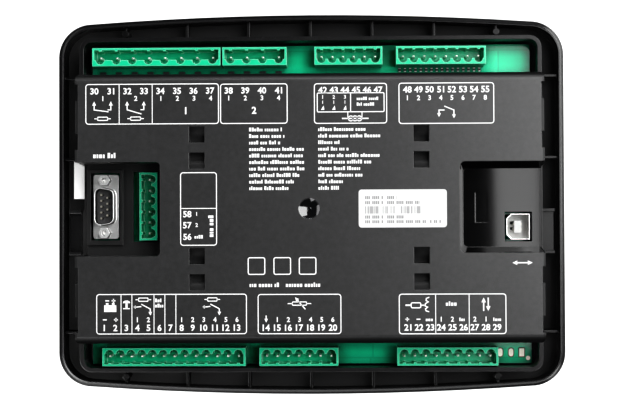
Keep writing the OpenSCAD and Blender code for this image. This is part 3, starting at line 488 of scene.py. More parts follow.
def output_switch(ink, u, z):
    """A plus, a lead, an open blade and an arrow out, under a fuse."""
    fuse(ink, u, z + 3.4, 7.2)
    ink.line([(u - 4.4, z), (u - 3.0, z)], 0.4)
    ink.line([(u - 3.7, z - 0.7), (u - 3.7, z + 0.7)], 0.4)
    ink.line([(u - 3.0, z), (u - 0.9, z + 0.25)], 0.5)
    ink.arrow(
        [(u - 0.9, z + 1.3), (u + 2.9, z - 0.7), (u + 3.2, z - 0.9), (u + 3.2, z - 3.9)], 0.5, 1.7
    )


def pole(ink, u, z, plus):
    """A minus sign, or a plus."""
    ink.line([(u - 0.9, z), (u + 0.9, z)], 0.55)
    if plus:
        ink.line([(u, z - 0.9), (u, z + 0.9)], 0.55)


# Terminal frames: left, right, lower and upper edge, and the dividers inside.
for left, right, low, high, dividers in (
    (-102.54, -41.43, 36.64, 54.92, (-87.16, -71.92)),
    (-40.46, -9.88, 36.6, 54.7, ()),
    (2.61, 35.68, 36.42, 54.6, ()),
    (41.35, 84.59, 36.13, 54.62, ()),
    (-97.63, -28.87, -59.68, -41.61, (-86.43, -81.43, -71.28, -66.28, -61.23)),
    (-23.5, 14.34, -59.74, -41.79, ()),
    (40.98, 89.51, -59.93, -41.85, (57.55, 72.8)),
):
    rear_ink.frame(left, right, low, high, 1.2, INK_LINE)
    for across in dividers:
        rear_ink.line([(across, low + 0.25), (across, high - 0.25)], INK_LINE * 0.85)

# Plain numbers, one a pin: first number, how many, middle of the row, height and spacing.
for first, count, middle, z, step in (
    (30, 8, -71.92, 51.76, WIDE_PITCH),
    (38, 4, -25.27, 51.74, WIDE_PITCH),
    (42, 6, 19.1, 51.7, FINE_PITCH),
    (48, 8, 62.96, 51.7, FINE_PITCH),
    (1, 13, -63.68, -56.92, FINE_PITCH),
    (14, 7, -4.6, -57.0, FINE_PITCH),
    (21, 9, 65.17, -57.0, FINE_PITCH),
):
    for i in range(count):
        rear_ink.number(first + i, middle + (i - (count - 1) / 2) * step, z, NUMBER_TALL)

# Channel marks under or over the numbers: the marks, middle of the row, height and spacing.
for marks, middle, z, step in (
    ((1, 2, 3, 4), -56.5, 48.3, WIDE_PITCH),
    ((1, 2, 3, 4), -25.27, 48.3, WIDE_PITCH),
    ((1, 2, 3, 4, 5, 6, 7, 8), 62.96, 47.9, FINE_PITCH),
    ((1, 2), -76.4, -53.2, FINE_PITCH),
    ((1, 2, 3, 4, 5, 6), -45.9, -53.2, FINE_PITCH),
    ((1, 2, 3, 4, 5, 6), -2.06, -53.3, FINE_PITCH),
    ((1, 2), 62.6, -53.3, FINE_PITCH),
    ((2, 1), 77.9, -53.3, FINE_PITCH),
):
    for i, mark in enumerate(marks):
        rear_ink.number(mark, middle + (i - (len(marks) - 1) / 2) * step, z, MARK_TALL)
for u in (75.4, 60.0, 44.7):
    rear_ink.blocks(u + 8.3, -54.2, 4.0, 1.6)
rear_ink.number(1, -94.7, 48.4, MARK_TALL)
rear_ink.number(2, -79.5, 48.4, MARK_TALL)
rear_ink.number(1, -56.5, 42.6, 3.3)
rear_ink.number(2, -25.1, 42.6, 3.3)

# Relay contacts and fuses over the first voltage pins, and the input contact.
contact(rear_ink, -98.7, 43.2, 7.7, 3.9, 0.9)
contact(rear_ink, -83.5, 43.2, 7.7, 3.9, 2.0)
fuse(rear_ink, -94.8, 39.1, 7.6)
fuse(rear_ink, -79.6, 39.1, 7.6)
rear_ink.arrow([(62.1, 42.2), (59.6, 42.2), (59.6, 39.0)], 0.5, 1.8)
rear_ink.arrow([(62.0, 44.0), (66.4, 42.2), (66.4, 38.4)], 0.5, 1.8)

# Current terminal: an inner box with plain marks, and a transformer's loops on a line.
rear_ink.frame(3.92, 34.51, 41.65, 50.33, 0.5, 0.45)
rear_ink.line([(19.2, 41.8), (19.2, 50.2)], 0.45)
for i, u in enumerate((6.4, 11.5, 16.6)):
    rear_ink.number(i + 1, u, 48.5, 1.7)
    rear_ink.number(1, u, 46.1, 1.5)
    rear_ink.fill((u - 0.8, 42.6), (u + 0.8, 42.6), (u + 0.4, 44.6))
rear_ink.blocks(22.0, 47.0, 10.5, 1.5)
rear_ink.blocks(22.0, 44.4, 8.0, 1.5)
rear_ink.line([(15.2, 38.6), (27.4, 38.6)], 0.6)
for u in (19.3, 21.2, 23.1):
    rear_ink.ring(u, 38.6, 1.15, 0.45)
rear_ink.line([(17.9, 38.6), (17.9, 41.5)], 0.4)
rear_ink.line([(24.4, 38.6), (24.4, 41.5)], 0.4)

# Bus terminal's frame beside the serial bay, with its numbers and an upright caption.
rear_ink.frame(-58.96, -42.46, -19.17, 14.1, 1.2, INK_LINE)
rear_ink.line([(-58.7, -2.3), (-42.7, -2.3)], INK_LINE * 0.85)
for value, z in ((58, -4.9), (57, -10.0), (56, -15.3)):
    rear_ink.number(value, -55.9, z, NUMBER_TALL)
rear_ink.number(1, -51.6, -4.8, 1.8)
rear_ink.number(2, -51.6, -9.9, 1.8)
rear_ink.blocks(-52.6, -16.1, 4.6, 1.6)
rear_ink.blocks(-43.9, -15.4, 10.6, 2.4, upright=True)

# Supply terminal: battery, push button, two switched outputs and a caption block.
rear_ink.bar(-94.2, -88.6, -49.6, -46.5)
rear_ink.bar(-93.4, -92.2, -46.6, -45.5)
rear_ink.bar(-90.6, -89.4, -46.6, -45.5)
for u, z in ((-93.9, -53.2), (-92.8, -44.5)):
    pole(rear_ink, u, z, plus=False)
for u, z in ((-88.8, -53.2), (-89.9, -44.5)):
    pole(rear_ink, u, z, plus=True)
rear_ink.fill(
    *((-85.6, -45.6), (-82.2, -45.6), (-82.4, -44.9)),
    *((-83.3, -44.4), (-84.6, -44.4), (-85.4, -44.9)),
)
rear_ink.bar(-84.4, -83.4, -47.9, -45.7)
rear_ink.line([(-85.5, -48.1), (-82.4, -48.1)], 0.5)
output_switch(rear_ink, -76.2, -47.4)
output_switch(rear_ink, -44.5, -47.4)
rear_ink.blocks(-70.8, -45.2, 4.0, 1.7)
rear_ink.blocks(-70.8, -47.6, 4.0, 1.7)

# Sender terminal: a variable resistor and an earth arrow.
fuse(rear_ink, -4.6, -46.0, 10.8)
rear_ink.arrow([(-1.9, -48.6), (-6.6, -43.1)], 0.5, 1.8)
rear_ink.arrow([(-19.85, -51.4), (-19.85, -54.6)], 0.5, 1.7)

# Data terminal: a pickup beside a toothed wheel, a caption block and two-way arrows.
rear_ink.frame(46.4, 50.8, -48.1, -45.8, 0.6, 0.5)
rear_ink.line([(43.8, -46.9), (46.2, -46.9)], 0.7)
rear_ink.line([(51.0, -46.9), (52.4, -46.9)], 0.5)
rear_ink.line(
    [(54.7, -43.3), (53.3, -43.8), (53.2, -44.8), (54.2, -45.4), (52.9, -46.2), (52.7, -47.2)]
    + [(53.9, -47.8), (52.9, -48.6), (53.2, -49.5), (54.6, -49.9)],
    0.5,
)
rear_ink.blocks(62.2, -47.2, 5.8, 2.0)
rear_ink.arrow([(79.4, -49.6), (79.4, -43.5)], 0.6, 2.2)
rear_ink.arrow([(81.5, -43.5), (81.5, -49.6)], 0.6, 2.2)
pole(rear_ink, 44.6, -53.3, plus=True)
pole(rear_ink, 49.7, -53.3, plus=False)

# Two columns of ten rows, three rounded frames over a line, and the bays' captions.
LEFT_COLUMN, RIGHT_COLUMN = -27.4, 4.3
ROW_TOP, ROW_STEP, ROW_TALL = 32.9, 2.99, 1.75
LEFT_ROWS = (15.8, 17.1, 14.8, 26.0, 25.7, 26.0, 25.5, 23.6, 20.5, 18.5)
RIGHT_ROWS = (22.0, 29.7, 11.4, 14.7, 29.6, 24.6, 19.4, 20.2, 11.4, 9.9)
for i, (left, right) in enumerate(zip(LEFT_ROWS, RIGHT_ROWS)):
    rear_ink.blocks(LEFT_COLUMN, ROW_TOP - ROW_STEP * i, left, ROW_TALL)
    rear_ink.blocks(RIGHT_COLUMN, ROW_TOP - ROW_STEP * i, right, ROW_TALL)
rear_ink.blocks(LEFT_COLUMN, -38.4, 14.0, 2.0)
rear_ink.blocks(-10.8, -38.4, 17.0, 2.0)
rear_ink.blocks(-99.2, 21.0, 10.6, 2.4)
for u in (-24.2, -12.4, -0.8):
    rear_ink.frame(u - 3.8, u + 3.8, -32.6, -25.0, 0.8, 0.5)
rear_ink.arrow([(97.2, -27.7), (92.6, -27.7)], 0.6, 2.2)
rear_ink.arrow([(97.0, -27.7), (101.8, -27.7)], 0.6, 2.2)

white_ink = Finish("white_ink", ior=1.45)
ink_wear = white_ink.noise(0.5 * MM, 3)
white_ink.wear(
    base_color=white_ink.tint(ink_wear, (0.70, 0.70, 0.70), (0.84, 0.84, 0.84)),
    roughness=0.5 + 0.15 * ink_wear,
)
rear_ink.solid("cover_print", COVER_FACE, INK_TOP, white_ink, "unit", "label_white", side=-1)

# Rating label: white film with its own adhesive, stuck on the cover. Its print is pale grey:
# four lines of blocks and a strip of uneven bars.
label_film = Finish("label_film", ior=1.45)
film_grain = label_film.noise(1.5 * MM, 3)
LINE_START, LETTER_STEP, BAR_STEP = 25.6, 0.85, 0.33
along = label_film.axis("X") / -MM
rows = label_film.within("Z", 1.6, 3.0) * (along > LINE_START) * (along < 40.1)
for low, high, end in ((-0.7, 0.7, 50.4), (-7.3, -5.9, 44.0), (-9.4, -8.1, 61.0)):
    rows = rows | label_film.within("Z", low, high) * (along > LINE_START) * (along < end)
cell = along / LETTER_STEP
letter = (label_film.chance(math.floor(cell)) > 0.2) * (cell % 1.0 < 0.7)
strip = label_film.within("Z", -5.0, -1.7) * (along > LINE_START) * (along < 51.3)
strip = strip * (label_film.chance(math.floor(along / BAR_STEP)) > 0.45)
label_film.wear(
    base_color=label_film.tint(
        (rows * letter | strip * 0.75) * (0.75 + 0.25 * film_grain),
        label_film.tint(film_grain, (0.57, 0.57, 0.57), (0.63, 0.63, 0.63)),
        (0.20, 0.20, 0.20),
    ),
    roughness=0.42 + 0.1 * film_grain,
)
paint(label_film, "rating_label")

# Terminal shells: eight green plastic headers soldered along the board's edges and in the
# serial bay, each open at the rear for its plug.
terminal_green = Finish("terminal_green", ior=1.52, specular_ior_level=0.6)
streak = terminal_green.noise(3 * MM, 2)
speck = terminal_green.noise(0.25 * MM, 2)
# The colour is painted darker in the shells' hollows, a painted shade, and pale mint along their
# sharp edges, a painted highlight. The streaks are the plastic's own tone.
terminal_green.wear(
    base_color=terminal_green.tint(
        terminal_green.arris(0.6 * MM),
        terminal_green.tint(
            terminal_green.shelter(5 * MM),
            (0.0, 0.34, 0.18),
            terminal_green.tint(streak, (0.004, 0.46, 0.24), (0.014, 0.60, 0.33)),
        ),
        (0.34, 0.92, 0.66),
    ),
    roughness=0.2 + 0.1 * speck,
    normal=terminal_green.bump(speck, 0.008 * MM, 0.4, 0.3 * MM),
)
paint(terminal_green, "term_generator", "term_mains", "term_current", "term_inputs")
paint(terminal_green, "term_supply", "term_senders", "term_data", "term_bus")

# Terminal pins: square brass wire, drawn and tinned, one for each way of a terminal. They are
# soldered through the board and stand inside the green shells.
tinned = Finish("tinned", metallic=0.6)
drawn = tinned.noise(0.6 * MM, 3, (4, 1, 4))
tinned.wear(
    base_color=tinned.tint(drawn, (0.86, 0.85, 0.82), (0.97, 0.96, 0.94)),
    roughness=0.26 + 0.16 * drawn,
    normal=tinned.bump(drawn, 0.004 * MM, 0.4, 0.4 * MM),
)
paint(tinned, "terminal_pins")

# Board: glass-fibre laminate under glossy green solder mask, screwed to the housing's posts.
# Copper under the mask shows as paler fields with a fine raised edge.
solder_mask = Finish(
    "solder_mask", ior=1.52, specular_ior_level=0.16, coat_weight=0.75, coat_roughness=0.05
)
weave = solder_mask.noise(0.9 * MM, 2)
flat_place = solder_mask.node(
    "ShaderNodeCombineXYZ", {}, {0: solder_mask.axis("X"), 1: solder_mask.axis("Z")}
)
copper = solder_mask.node(
    "ShaderNodeTexBrick",
    {"offset": 0.37, "squash": 0.7},
    {
        "Vector": flat_place,
        "Scale": 17.0,
        "Mortar Size": 0.006,
        "Color1": (1, 1, 1),
        "Color2": (0.55, 0.55, 0.55),
        "Mortar": (0.3, 0.3, 0.3),
    },
)
# Under the terminals, along the cover's edge and in other hollows the colour falls to near black:
# painted shade. The paler copper fields are real.
solder_mask.wear(
    base_color=solder_mask.tint(
        solder_mask.shelter(7 * MM) ** 1.8,
        (0.0, 0.03, 0.015),
        solder_mask.tint(copper * 0.85 + weave * 0.15, (0.0, 0.54, 0.28), (0.003, 0.88, 0.48)),
    ),
    roughness=0.34 + 0.12 * weave,
    normal=solder_mask.bump(copper, 0.03 * MM, 0.4),
)
paint(solder_mask, "main_board")

# Small parts on the board beside the terminals: chip resistors with tinned ends, soldered
# flat, and past the data terminal a via and a row of bare plated pads, each set in a gap of
# the solder mask.
BOARD_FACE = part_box("main_board")[1].y / MM
chip_ink, pad_ink, bare_ink, gap_ink = Ink(), Ink(), Ink(), Ink()
for i in range(8):
    for shift in (-FINE_PITCH / 4, FINE_PITCH / 4):
        u, z = 44.09 + FINE_PITCH * i + shift, 64.2
        chip_ink.bar(u - 0.5, u + 0.5, z - 0.5, z + 0.5)
        for low in (z - 0.9, z + 0.52):
            pad_ink.bar(u - 0.5, u + 0.5, low, low + 0.38)
for first, count in ((-99.4, 8), (-37.61, 4)):
    for i in range(count):
        u = first + WIDE_PITCH * i
        chip_ink.bar(u - 1.9, u + 0.9, 62.4, 64.0)
PAD_LOW, PAD_HIGH, PAD_GAP, GAP_LINE = -73, -69.2, 0.25, 0.45
for left, right, pad_r, gap_r in (
    (89.0, 91.2, 1.09, 1.34),
    (94.1, 96.3, 1.09, 1.34),
    (99.1, 101.5, 0.2, 0.3),
):
    bare_ink.fill(*bare_ink.rounded(left, right, PAD_LOW, PAD_HIGH, pad_r))
    gap_ink.frame(
        left - PAD_GAP, right + PAD_GAP, PAD_LOW - PAD_GAP, PAD_HIGH + PAD_GAP, gap_r, GAP_LINE
    )
bare_ink.disc(103.3, -73.8, 1.05)
chip_black = Finish("chip_black", ior=1.5)
chip_grain = chip_black.noise(0.2 * MM, 2)
chip_black.wear(
    base_color=chip_black.tint(chip_grain, (0.012, 0.014, 0.014), (0.030, 0.032, 0.034)),
    roughness=0.35 + 0.15 * chip_grain,
)
CHIP_TALL, END_TALL, PAD_TALL, GAP_TALL = 0.5, 0.42, 0.06, 0.02
chip_top, end_top = BOARD_FACE + CHIP_TALL, BOARD_FACE + END_TALL
chip_ink.solid("board_chips", BOARD_FACE, chip_top, chip_black, "unit", "component_black", side=-1)
pad_ink.solid("board_pads", BOARD_FACE, end_top, tinned, "unit", "tinned_brass", side=-1)
bare_pad = Finish("bare_pad", metallic=0.3)
flux = bare_pad.noise(0.7 * MM, 2)
bare_pad.wear(
    base_color=bare_pad.tint(flux, (0.86, 0.83, 0.70), (0.97, 0.95, 0.86)),
    roughness=0.3 + 0.2 * flux,
)
pad_top, gap_top = BOARD_FACE + PAD_TALL, BOARD_FACE + GAP_TALL
bare_ink.solid("bare_pads", BOARD_FACE, pad_top, bare_pad, "unit", "tinned_brass", side=-1)
laminate = Finish("laminate", roughness=0.6)
glass = laminate.noise(0.5 * MM, 2)
laminate.wear(base_color=laminate.tint(glass, (0.05, 0.06, 0.03), (0.10, 0.10, 0.05)))
gap_ink.solid("pad_gaps", BOARD_FACE, gap_top, laminate, "unit", "board_green", side=-1)

# Serial port: plated steel flange and drawn shell round a black insulator, with gold pins and
# two hexagonal jack posts. The same plating is on the USB shell, the tray and the screws.
FLANGE_FACE, FLANGE_R = 1.4, 1.4
SHELL_WIDE, SHELL_LONG, SHELL_R, SHELL_T, SHELL_LEAN = 9.36, 17.92, 3.1, 0.5, 10
FLANGE_LOW, SHELL_TOP = (corner.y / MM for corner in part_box("port_shell"))
PORT_PIN_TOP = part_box("port_pins")[1].y / MM
PORT_X, PORT_Z = ((a + b) / 2 for a, b in zip(*(c.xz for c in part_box("port_shell"))))
PORT_BAY_X = (88, 108)
JACK_GAP, JACK_BORE = 24.99, 2.6
plated = Finish("plated", metallic=0.9)
rolled = plated.noise(0.8 * MM, 3, (1, 1, 5))
from_jack = abs(plated.axis("Z") - PORT_Z) - JACK_GAP / 2 * MM
from_jack = ((plated.axis("X") - PORT_X) ** 2.0 + from_jack**2.0) ** 0.5
# The port's sides in the bay, between the flange face and the shell's rim, are painted near black:
# painted shade. The jack posts' bores keep the plating.
painted_shade_side = plated.within("Y", FLANGE_FACE + 0.2, SHELL_TOP - 0.6)
painted_shade_side = plated.within("X", *PORT_BAY_X) * painted_shade_side
painted_shade_side = painted_shade_side * (from_jack > (JACK_BORE / 2 + 0.3) * MM)
plated.wear(
    base_color=plated.tint(
        painted_shade_side,
        plated.tint(rolled, (0.78, 0.78, 0.77), (0.92, 0.92, 0.91)),
        (0.015, 0.015, 0.015),
    ),
    roughness=0.3 + 0.16 * rolled,
    normal=plated.bump(rolled, 0.01 * MM, 0.4, 0.25 * MM),
)
paint(plated, "jack_posts", "usb_shell", "display_tray", "board_screws")


def corner_arcs(arcs):
    """A closed outline from four round corners: middle, radius, first and last angle."""
    return [
        (x + r * math.cos(turn), z + r * math.sin(turn))
        for x, z, r, first, last in arcs
        for turn in (math.radians(first + (last - first) * i / 8) for i in range(9))
    ]


def shell_outline(margin):
    """The port's outline with its wide side outwards, moved in by a margin."""
    r = SHELL_R - margin
    wide, long = SHELL_WIDE / 2 - margin - r, SHELL_LONG / 2 - margin - r
    short = long - 2 * wide * math.tan(math.radians(SHELL_LEAN))
    lean = SHELL_LEAN
    return corner_arcs(
        (
            (wide, long, r, 0, 90 + lean),
            (-wide, short, r, 90 + lean, 180),
            (-wide, -short, r, 180, 270 - lean),
            (wide, -long, r, 270 - lean, 360),
        )
    )


def flange_outline(margin):
    low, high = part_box("port_shell")
    r = FLANGE_R - margin
    wide, long = ((high[k] - low[k]) / MM / 2 - margin - r for k in (0, 2))
    return corner_arcs(
        (
            (wide, long, r, 0, 90),
            (-wide, long, r, 90, 180),
            (-wide, -long, r, 180, 270),
            (wide, -long, r, 270, 360),
        )
    )


def drawn_piece(name, rings, hollow, finish, node):
    """Outlines with their depths, skinned into a closed solid round the port's middle."""
    made = bmesh.new()
    loops = [
        [made.verts.new((PORT_X + x * MM, y * MM, PORT_Z + z * MM)) for x, z in ring]
        for ring, y in rings
    ]
    for lower, upper in zip(loops, loops[1:] + loops[:1] if hollow else loops[1:]):
        for i in range(len(lower)):
            made.faces.new((lower[i - 1], lower[i], upper[i], upper[i - 1]))
    if not hollow:
        made.faces.new(loops[0])
        made.faces.new(loops[-1])
    bmesh.ops.recalc_face_normals(made, faces=made.faces)
    mesh = bpy.data.meshes.new(name)
    made.to_mesh(mesh)
    made.free()
    mesh.materials.append(finish.material)
    piece = bpy.data.objects.new(name, mesh)
    scene.collection.objects.link(piece)
    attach(piece, "unit")
    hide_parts(node)


drawn_piece(
    "serial_shell",
    (
        (flange_outline(0), FLANGE_LOW),
        (flange_outline(0), FLANGE_FACE - 0.25),
        (flange_outline(0.08), FLANGE_FACE - 0.07),
        (flange_outline(0.25), FLANGE_FACE),
        (shell_outline(-0.4), FLANGE_FACE),
        (shell_outline(-0.12), FLANGE_FACE + 0.1),
        (shell_outline(0), FLANGE_FACE + 0.4),
        (shell_outline(0), SHELL_TOP - 0.25),
        (shell_outline(0.08), SHELL_TOP - 0.07),
        (shell_outline(SHELL_T / 2), SHELL_TOP),
        (shell_outline(SHELL_T - 0.08), SHELL_TOP - 0.07),
        (shell_outline(SHELL_T), SHELL_TOP - 0.25),
        (shell_outline(SHELL_T), FLANGE_LOW),
    ),
    True,
    plated,
    "port_shell",
)
insulator = Finish("insulator", ior=1.5, specular_ior_level=0.4)
fibre = insulator.noise(0.3 * MM, 2)
insulator.wear(
    base_color=insulator.tint(fibre, (0.10, 0.10, 0.101), (0.14, 0.14, 0.141)),
    roughness=0.38 + 0.14 * fibre,
)
drawn_piece(
    "serial_insulator",
    (
        (shell_outline(SHELL_T + 0.05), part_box("port_body")[0].y / MM),
        (shell_outline(SHELL_T + 0.05), FLANGE_FACE - 0.2),
        (shell_outline(SHELL_T + 0.25), FLANGE_FACE),
    ),
    False,
    insulator,
    "port_body",
)
gilt = Finish("gilt", metallic=1.0)
worn = gilt.noise(0.4 * MM, 2)
# The port's pins are painted dark below their tips: painted shade. The tips keep the gold.
painted_pin_shade = gilt.within("X", *PORT_BAY_X) * gilt.within("Y", -20, PORT_PIN_TOP - 0.25)
gilt.wear(
    base_color=gilt.tint(
        painted_pin_shade, gilt.tint(worn, (0.56, 0.53, 0.46), (0.68, 0.65, 0.58)), (0.10, 0.095, 0.08)
    ),
    roughness=0.3 + 0.15 * worn,
)
paint(gilt, "port_pins", "usb_contacts")

# USB port: a white moulded insert inside the plated shell. Its tongue carries the contacts, and
# beside the tongue two patches of painted shade stand for small openings.
insert_white = Finish("insert_white", ior=1.5)
chalk = insert_white.noise(0.5 * MM, 2)
HOLE_X, HOLE_Y, HOLE_UPPER, HOLE_LOWER = (-95.5, -94.2), (0, 4), (-10.0, -8.7), (-12.7, -11.4)
hole_shade = insert_white.within("Z", *HOLE_UPPER) | insert_white.within("Z", *HOLE_LOWER)
hole_shade = hole_shade * insert_white.within("X", *HOLE_X) * insert_white.within("Y", *HOLE_Y)
insert_white.wear(
    base_color=insert_white.tint(
        hole_shade,
        insert_white.tint(chalk, (0.52, 0.52, 0.51), (0.60, 0.60, 0.59)),
        (0.004, 0.004, 0.004),
    ),
    roughness=0.3 + 0.1 * chalk,
)
paint(insert_white, "usb_insert")

# Label card: plain white card, cut and creased, that slides in behind the front wall through a
# slot. Its tab is folded back at the side.
paper = Finish("paper")
pulp = paper.noise(0.4 * MM, 4)
paper.wear(
    base_color=paper.tint(pulp, (0.84, 0.84, 0.83), (0.93, 0.93, 0.92)),
    roughness=0.6 + 0.2 * pulp,
)
paint(paper, "label_card")

# Parts on the board under the cover: relays, processor, sounder and current transformers in
# black, electrolytic capacitors in a blue sleeve, and a taped power transformer.
moulded_black = Finish("moulded_black", ior=1.5)
mould_grain = moulded_black.noise(0.3 * MM, 2)
moulded_black.wear(
    base_color=moulded_black.tint(mould_grain, (0.010, 0.010, 0.011), (0.024, 0.024, 0.026)),
    roughness=0.4 + 0.15 * mould_grain,
)
paint(moulded_black, "key_switches", "relays", "current_cores", "processor", "sounder")
sleeve = Finish("sleeve", ior=1.5)
shrink = sleeve.noise(1.2 * MM, 2, (1, 4, 1))
sleeve.wear(
    base_color=sleeve.tint(shrink, (0.010, 0.018, 0.045), (0.022, 0.034, 0.075)),
    roughness=0.25 + 0.1 * shrink,
)
paint(sleeve, "capacitors")
core_tape = Finish("core_tape")
lap = core_tape.noise(2 * MM, 2, (1, 5, 1))
core_tape.wear(
    base_color=core_tape.tint(lap, (0.42, 0.27, 0.03), (0.62, 0.42, 0.06)),
    roughness=0.35 + 0.15 * lap,
)
paint(core_tape, "power_core")

# Front overlay: a polyester film stuck in a recess of the front wall, printed dark grey from
# behind with a paler band for the keys, and left clear over the display.
DISPLAY_LEFT, DISPLAY_RIGHT, DISPLAY_LOW, DISPLAY_HIGH = -86, 10, 1, 55
BAND_LOW, BAND_HIGH = -68, -34
overlay_film = Finish("overlay_film", ior=1.5, specular_ior_level=0.45)
hatch = overlay_film.noise(0.22 * MM, 2)
tone = overlay_film.noise(40 * MM, 2)
key_band = overlay_film.within("Z", BAND_LOW, BAND_HIGH)
clear_pane = overlay_film.within("X", DISPLAY_LEFT, DISPLAY_RIGHT)
clear_pane = clear_pane * overlay_film.within("Z", DISPLAY_LOW, DISPLAY_HIGH)
overlay_film.wear(
    base_color=overlay_film.tint(
        key_band,
        overlay_film.tint(tone, (0.012, 0.014, 0.017), (0.018, 0.020, 0.024)),
        overlay_film.tint(tone, (0.060, 0.066, 0.074), (0.075, 0.082, 0.090)),
    ),
    roughness=0.42 + 0.14 * hatch - 0.34 * clear_pane,
    alpha=1.0 - 0.9 * clear_pane,
    normal=overlay_film.bump(hatch, 0.01 * MM, 0.5 - 0.5 * clear_pane),
)
paint(overlay_film, "front_overlay")

# Display: an acrylic window over a reflective liquid-crystal glass in a plated tray. The glass
# shows a dotted grid, four rows of blocks and a bar gauge.
window_clear = Finish("window_clear", ior=1.49, roughness=0.05)
smudge = window_clear.noise(18 * MM, 3)
window_clear.wear(
    base_color=window_clear.tint(smudge, (0.55, 0.6, 0.6), (0.7, 0.74, 0.74)),
    alpha=0.1 + 0.06 * smudge,
)
paint(window_clear, "display_lens")
crystal = Finish("crystal", ior=1.5)
sheen = crystal.noise(30 * MM, 2)
lcd_x, lcd_z = crystal.axis("X") / MM, crystal.axis("Z") / MM
DOT, CELL_WIDE, TEXT_LOW, TEXT_HIGH, TEXT_STEP = 0.6, 3.6, 12.0, 46, 9.0
GAUGE_LEFT, GAUGE_STEP, GAUGE_TALL = -20, 4.4, 30.0
active = crystal.within("X", -82, 6) * crystal.within("Z", 5, 51)
dots = ((lcd_x / DOT) % 1.0 > 0.12) * ((lcd_z / DOT) % 1.0 > 0.12)
row, cell = (lcd_z - TEXT_LOW) / TEXT_STEP, lcd_x / CELL_WIDE
text_rows = (row % 1.0 < 0.5) * crystal.within("Z", TEXT_LOW, TEXT_HIGH)
text_rows = text_rows * crystal.within("X", -78, -30)
text_cells = crystal.chance(math.floor(cell) + 31 * math.floor(row)) > 0.35
text_cells = text_cells * (cell % 1.0 < 0.72)
column = (lcd_x - GAUGE_LEFT) / GAUGE_STEP
gauge = crystal.within("Z", 10, 46) * crystal.within("X", GAUGE_LEFT, 2) * (column % 1.0 < 0.7)
gauge = gauge * (lcd_z - TEXT_LOW < GAUGE_TALL * crystal.chance(math.floor(column) + 0.5))
lit = (text_rows * text_cells | gauge) * dots * active
crystal.wear(
    base_color=crystal.tint(
        lit,
        crystal.tint(active * (0.75 + 0.25 * sheen), (0.03, 0.035, 0.03), (0.24, 0.30, 0.20)),
        (0.02, 0.03, 0.024),
    ),
    roughness=0.25 + 0.1 * sheen,
)
paint(crystal, "display_glass")

# Print on the overlay: pale ink for the display's border, the power diagram with its mains
# mast, breakers, load and generator, the rules beside the alarm lights, and key leaders.
FRONT_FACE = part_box("front_overlay")[0].y / MM
FRONT_INK = 0.03
KEY_LEFT, KEY_STEP, KEY_COUNT = -84, 24, 8
DIAGRAM_LEFT, DIAGRAM_STEP, DIAGRAM_LIGHTS, DIAGRAM_Z = -84, 42, 5, -20
ALARM_ROWS = (8.0, 15.0, 22.0, 29.0)
front_ink = Ink()
front_ink.frame(-107, 107, -76.2, 76.2, 6, 0.6)
front_ink.frame(DISPLAY_LEFT - 3, DISPLAY_RIGHT + 3, DISPLAY_LOW - 3, DISPLAY_HIGH + 3, 2.5, 0.8)
front_ink.ring(45, 34, 26, 0.5, 72)
for i in range(DIAGRAM_LIGHTS - 1):
    left = DIAGRAM_LEFT + DIAGRAM_STEP * i
    front_ink.line([(left + 3.6, DIAGRAM_Z), (left + DIAGRAM_STEP - 3.6, DIAGRAM_Z)], 0.9)
front_ink.line([(-88.2, -15.6), (-84, -5.2), (-79.8, -15.6)], 0.7)
front_ink.line([(-87.6, -8.2), (-80.4, -8.2)], 0.7)
front_ink.line([(-88.4, -11.2), (-79.6, -11.2)], 0.7)
for x in (-42, 42):
    front_ink.line([(x - 6, -11.6), (x - 2.4, -11.6), (x + 2.2, -8.4)], 0.7)
    front_ink.line([(x + 2.4, -11.6), (x + 6, -11.6)], 0.7)
front_ink.frame(-4.6, 4.6, -15.2, -9.8, 0.8, 0.7)
front_ink.fill((-5.8, -9.2), (5.8, -9.2), (0, -5.0))
front_ink.ring(84, -10.4, 5.0, 0.7, 36)
front_ink.line([(84 + 0.35 * i, -10.4 + 1.5 * math.sin(i * 0.785)) for i in range(-8, 9)], 0.6)
for z in ALARM_ROWS:
    front_ink.frame(83.6, 105, z - 2.7, z + 2.7, 0.8, 0.45)
for i in range(KEY_COUNT):
    x = KEY_LEFT + KEY_STEP * i
    front_ink.line([(x, -44.0), (x, -47.6)], 0.6)
    front_ink.number(i + 1, x, -72.0, 2.6)
pale_ink = Finish("pale_ink", ior=1.45)
pale_wear = pale_ink.noise(0.5 * MM, 3)
pale_ink.wear(
    base_color=pale_ink.tint(pale_wear, (0.52, 0.54, 0.56), (0.62, 0.64, 0.66)),
    roughness=0.45 + 0.12 * pale_wear,
)
INK_FRONT = FRONT_FACE - FRONT_INK
front_ink.solid("overlay_print", INK_FRONT, FRONT_FACE, pale_ink, "unit", "label_white")

# Light windows: tinted spots printed in the film, unlit. Behind them clear acrylic pipes lead
# to pale yellow lamps that are soldered to the board.
WINDOW_R, WINDOW_SIDES = 1.7, 24
light_ink = Ink()
for i in range(KEY_COUNT):
    light_ink.disc(KEY_LEFT + KEY_STEP * i, -41.5, WINDOW_R, WINDOW_SIDES)
for i in range(DIAGRAM_LIGHTS):
    light_ink.disc(DIAGRAM_LEFT + DIAGRAM_STEP * i, DIAGRAM_Z, WINDOW_R, WINDOW_SIDES)
for z in ALARM_ROWS:
    light_ink.disc(79, z, WINDOW_R, WINDOW_SIDES)
smoke = Finish("smoke", ior=1.5, roughness=0.25)
haze = smoke.noise(2 * MM, 2)
smoke.wear(base_color=smoke.tint(haze, (0.16, 0.17, 0.17), (0.24, 0.25, 0.25)))
light_ink.solid("light_windows", INK_FRONT, FRONT_FACE, smoke, "unit", "clear_pipe")
pipe_clear = Finish("pipe_clear", ior=1.49, transmission_weight=0.8)
cast = pipe_clear.noise(3 * MM, 2)
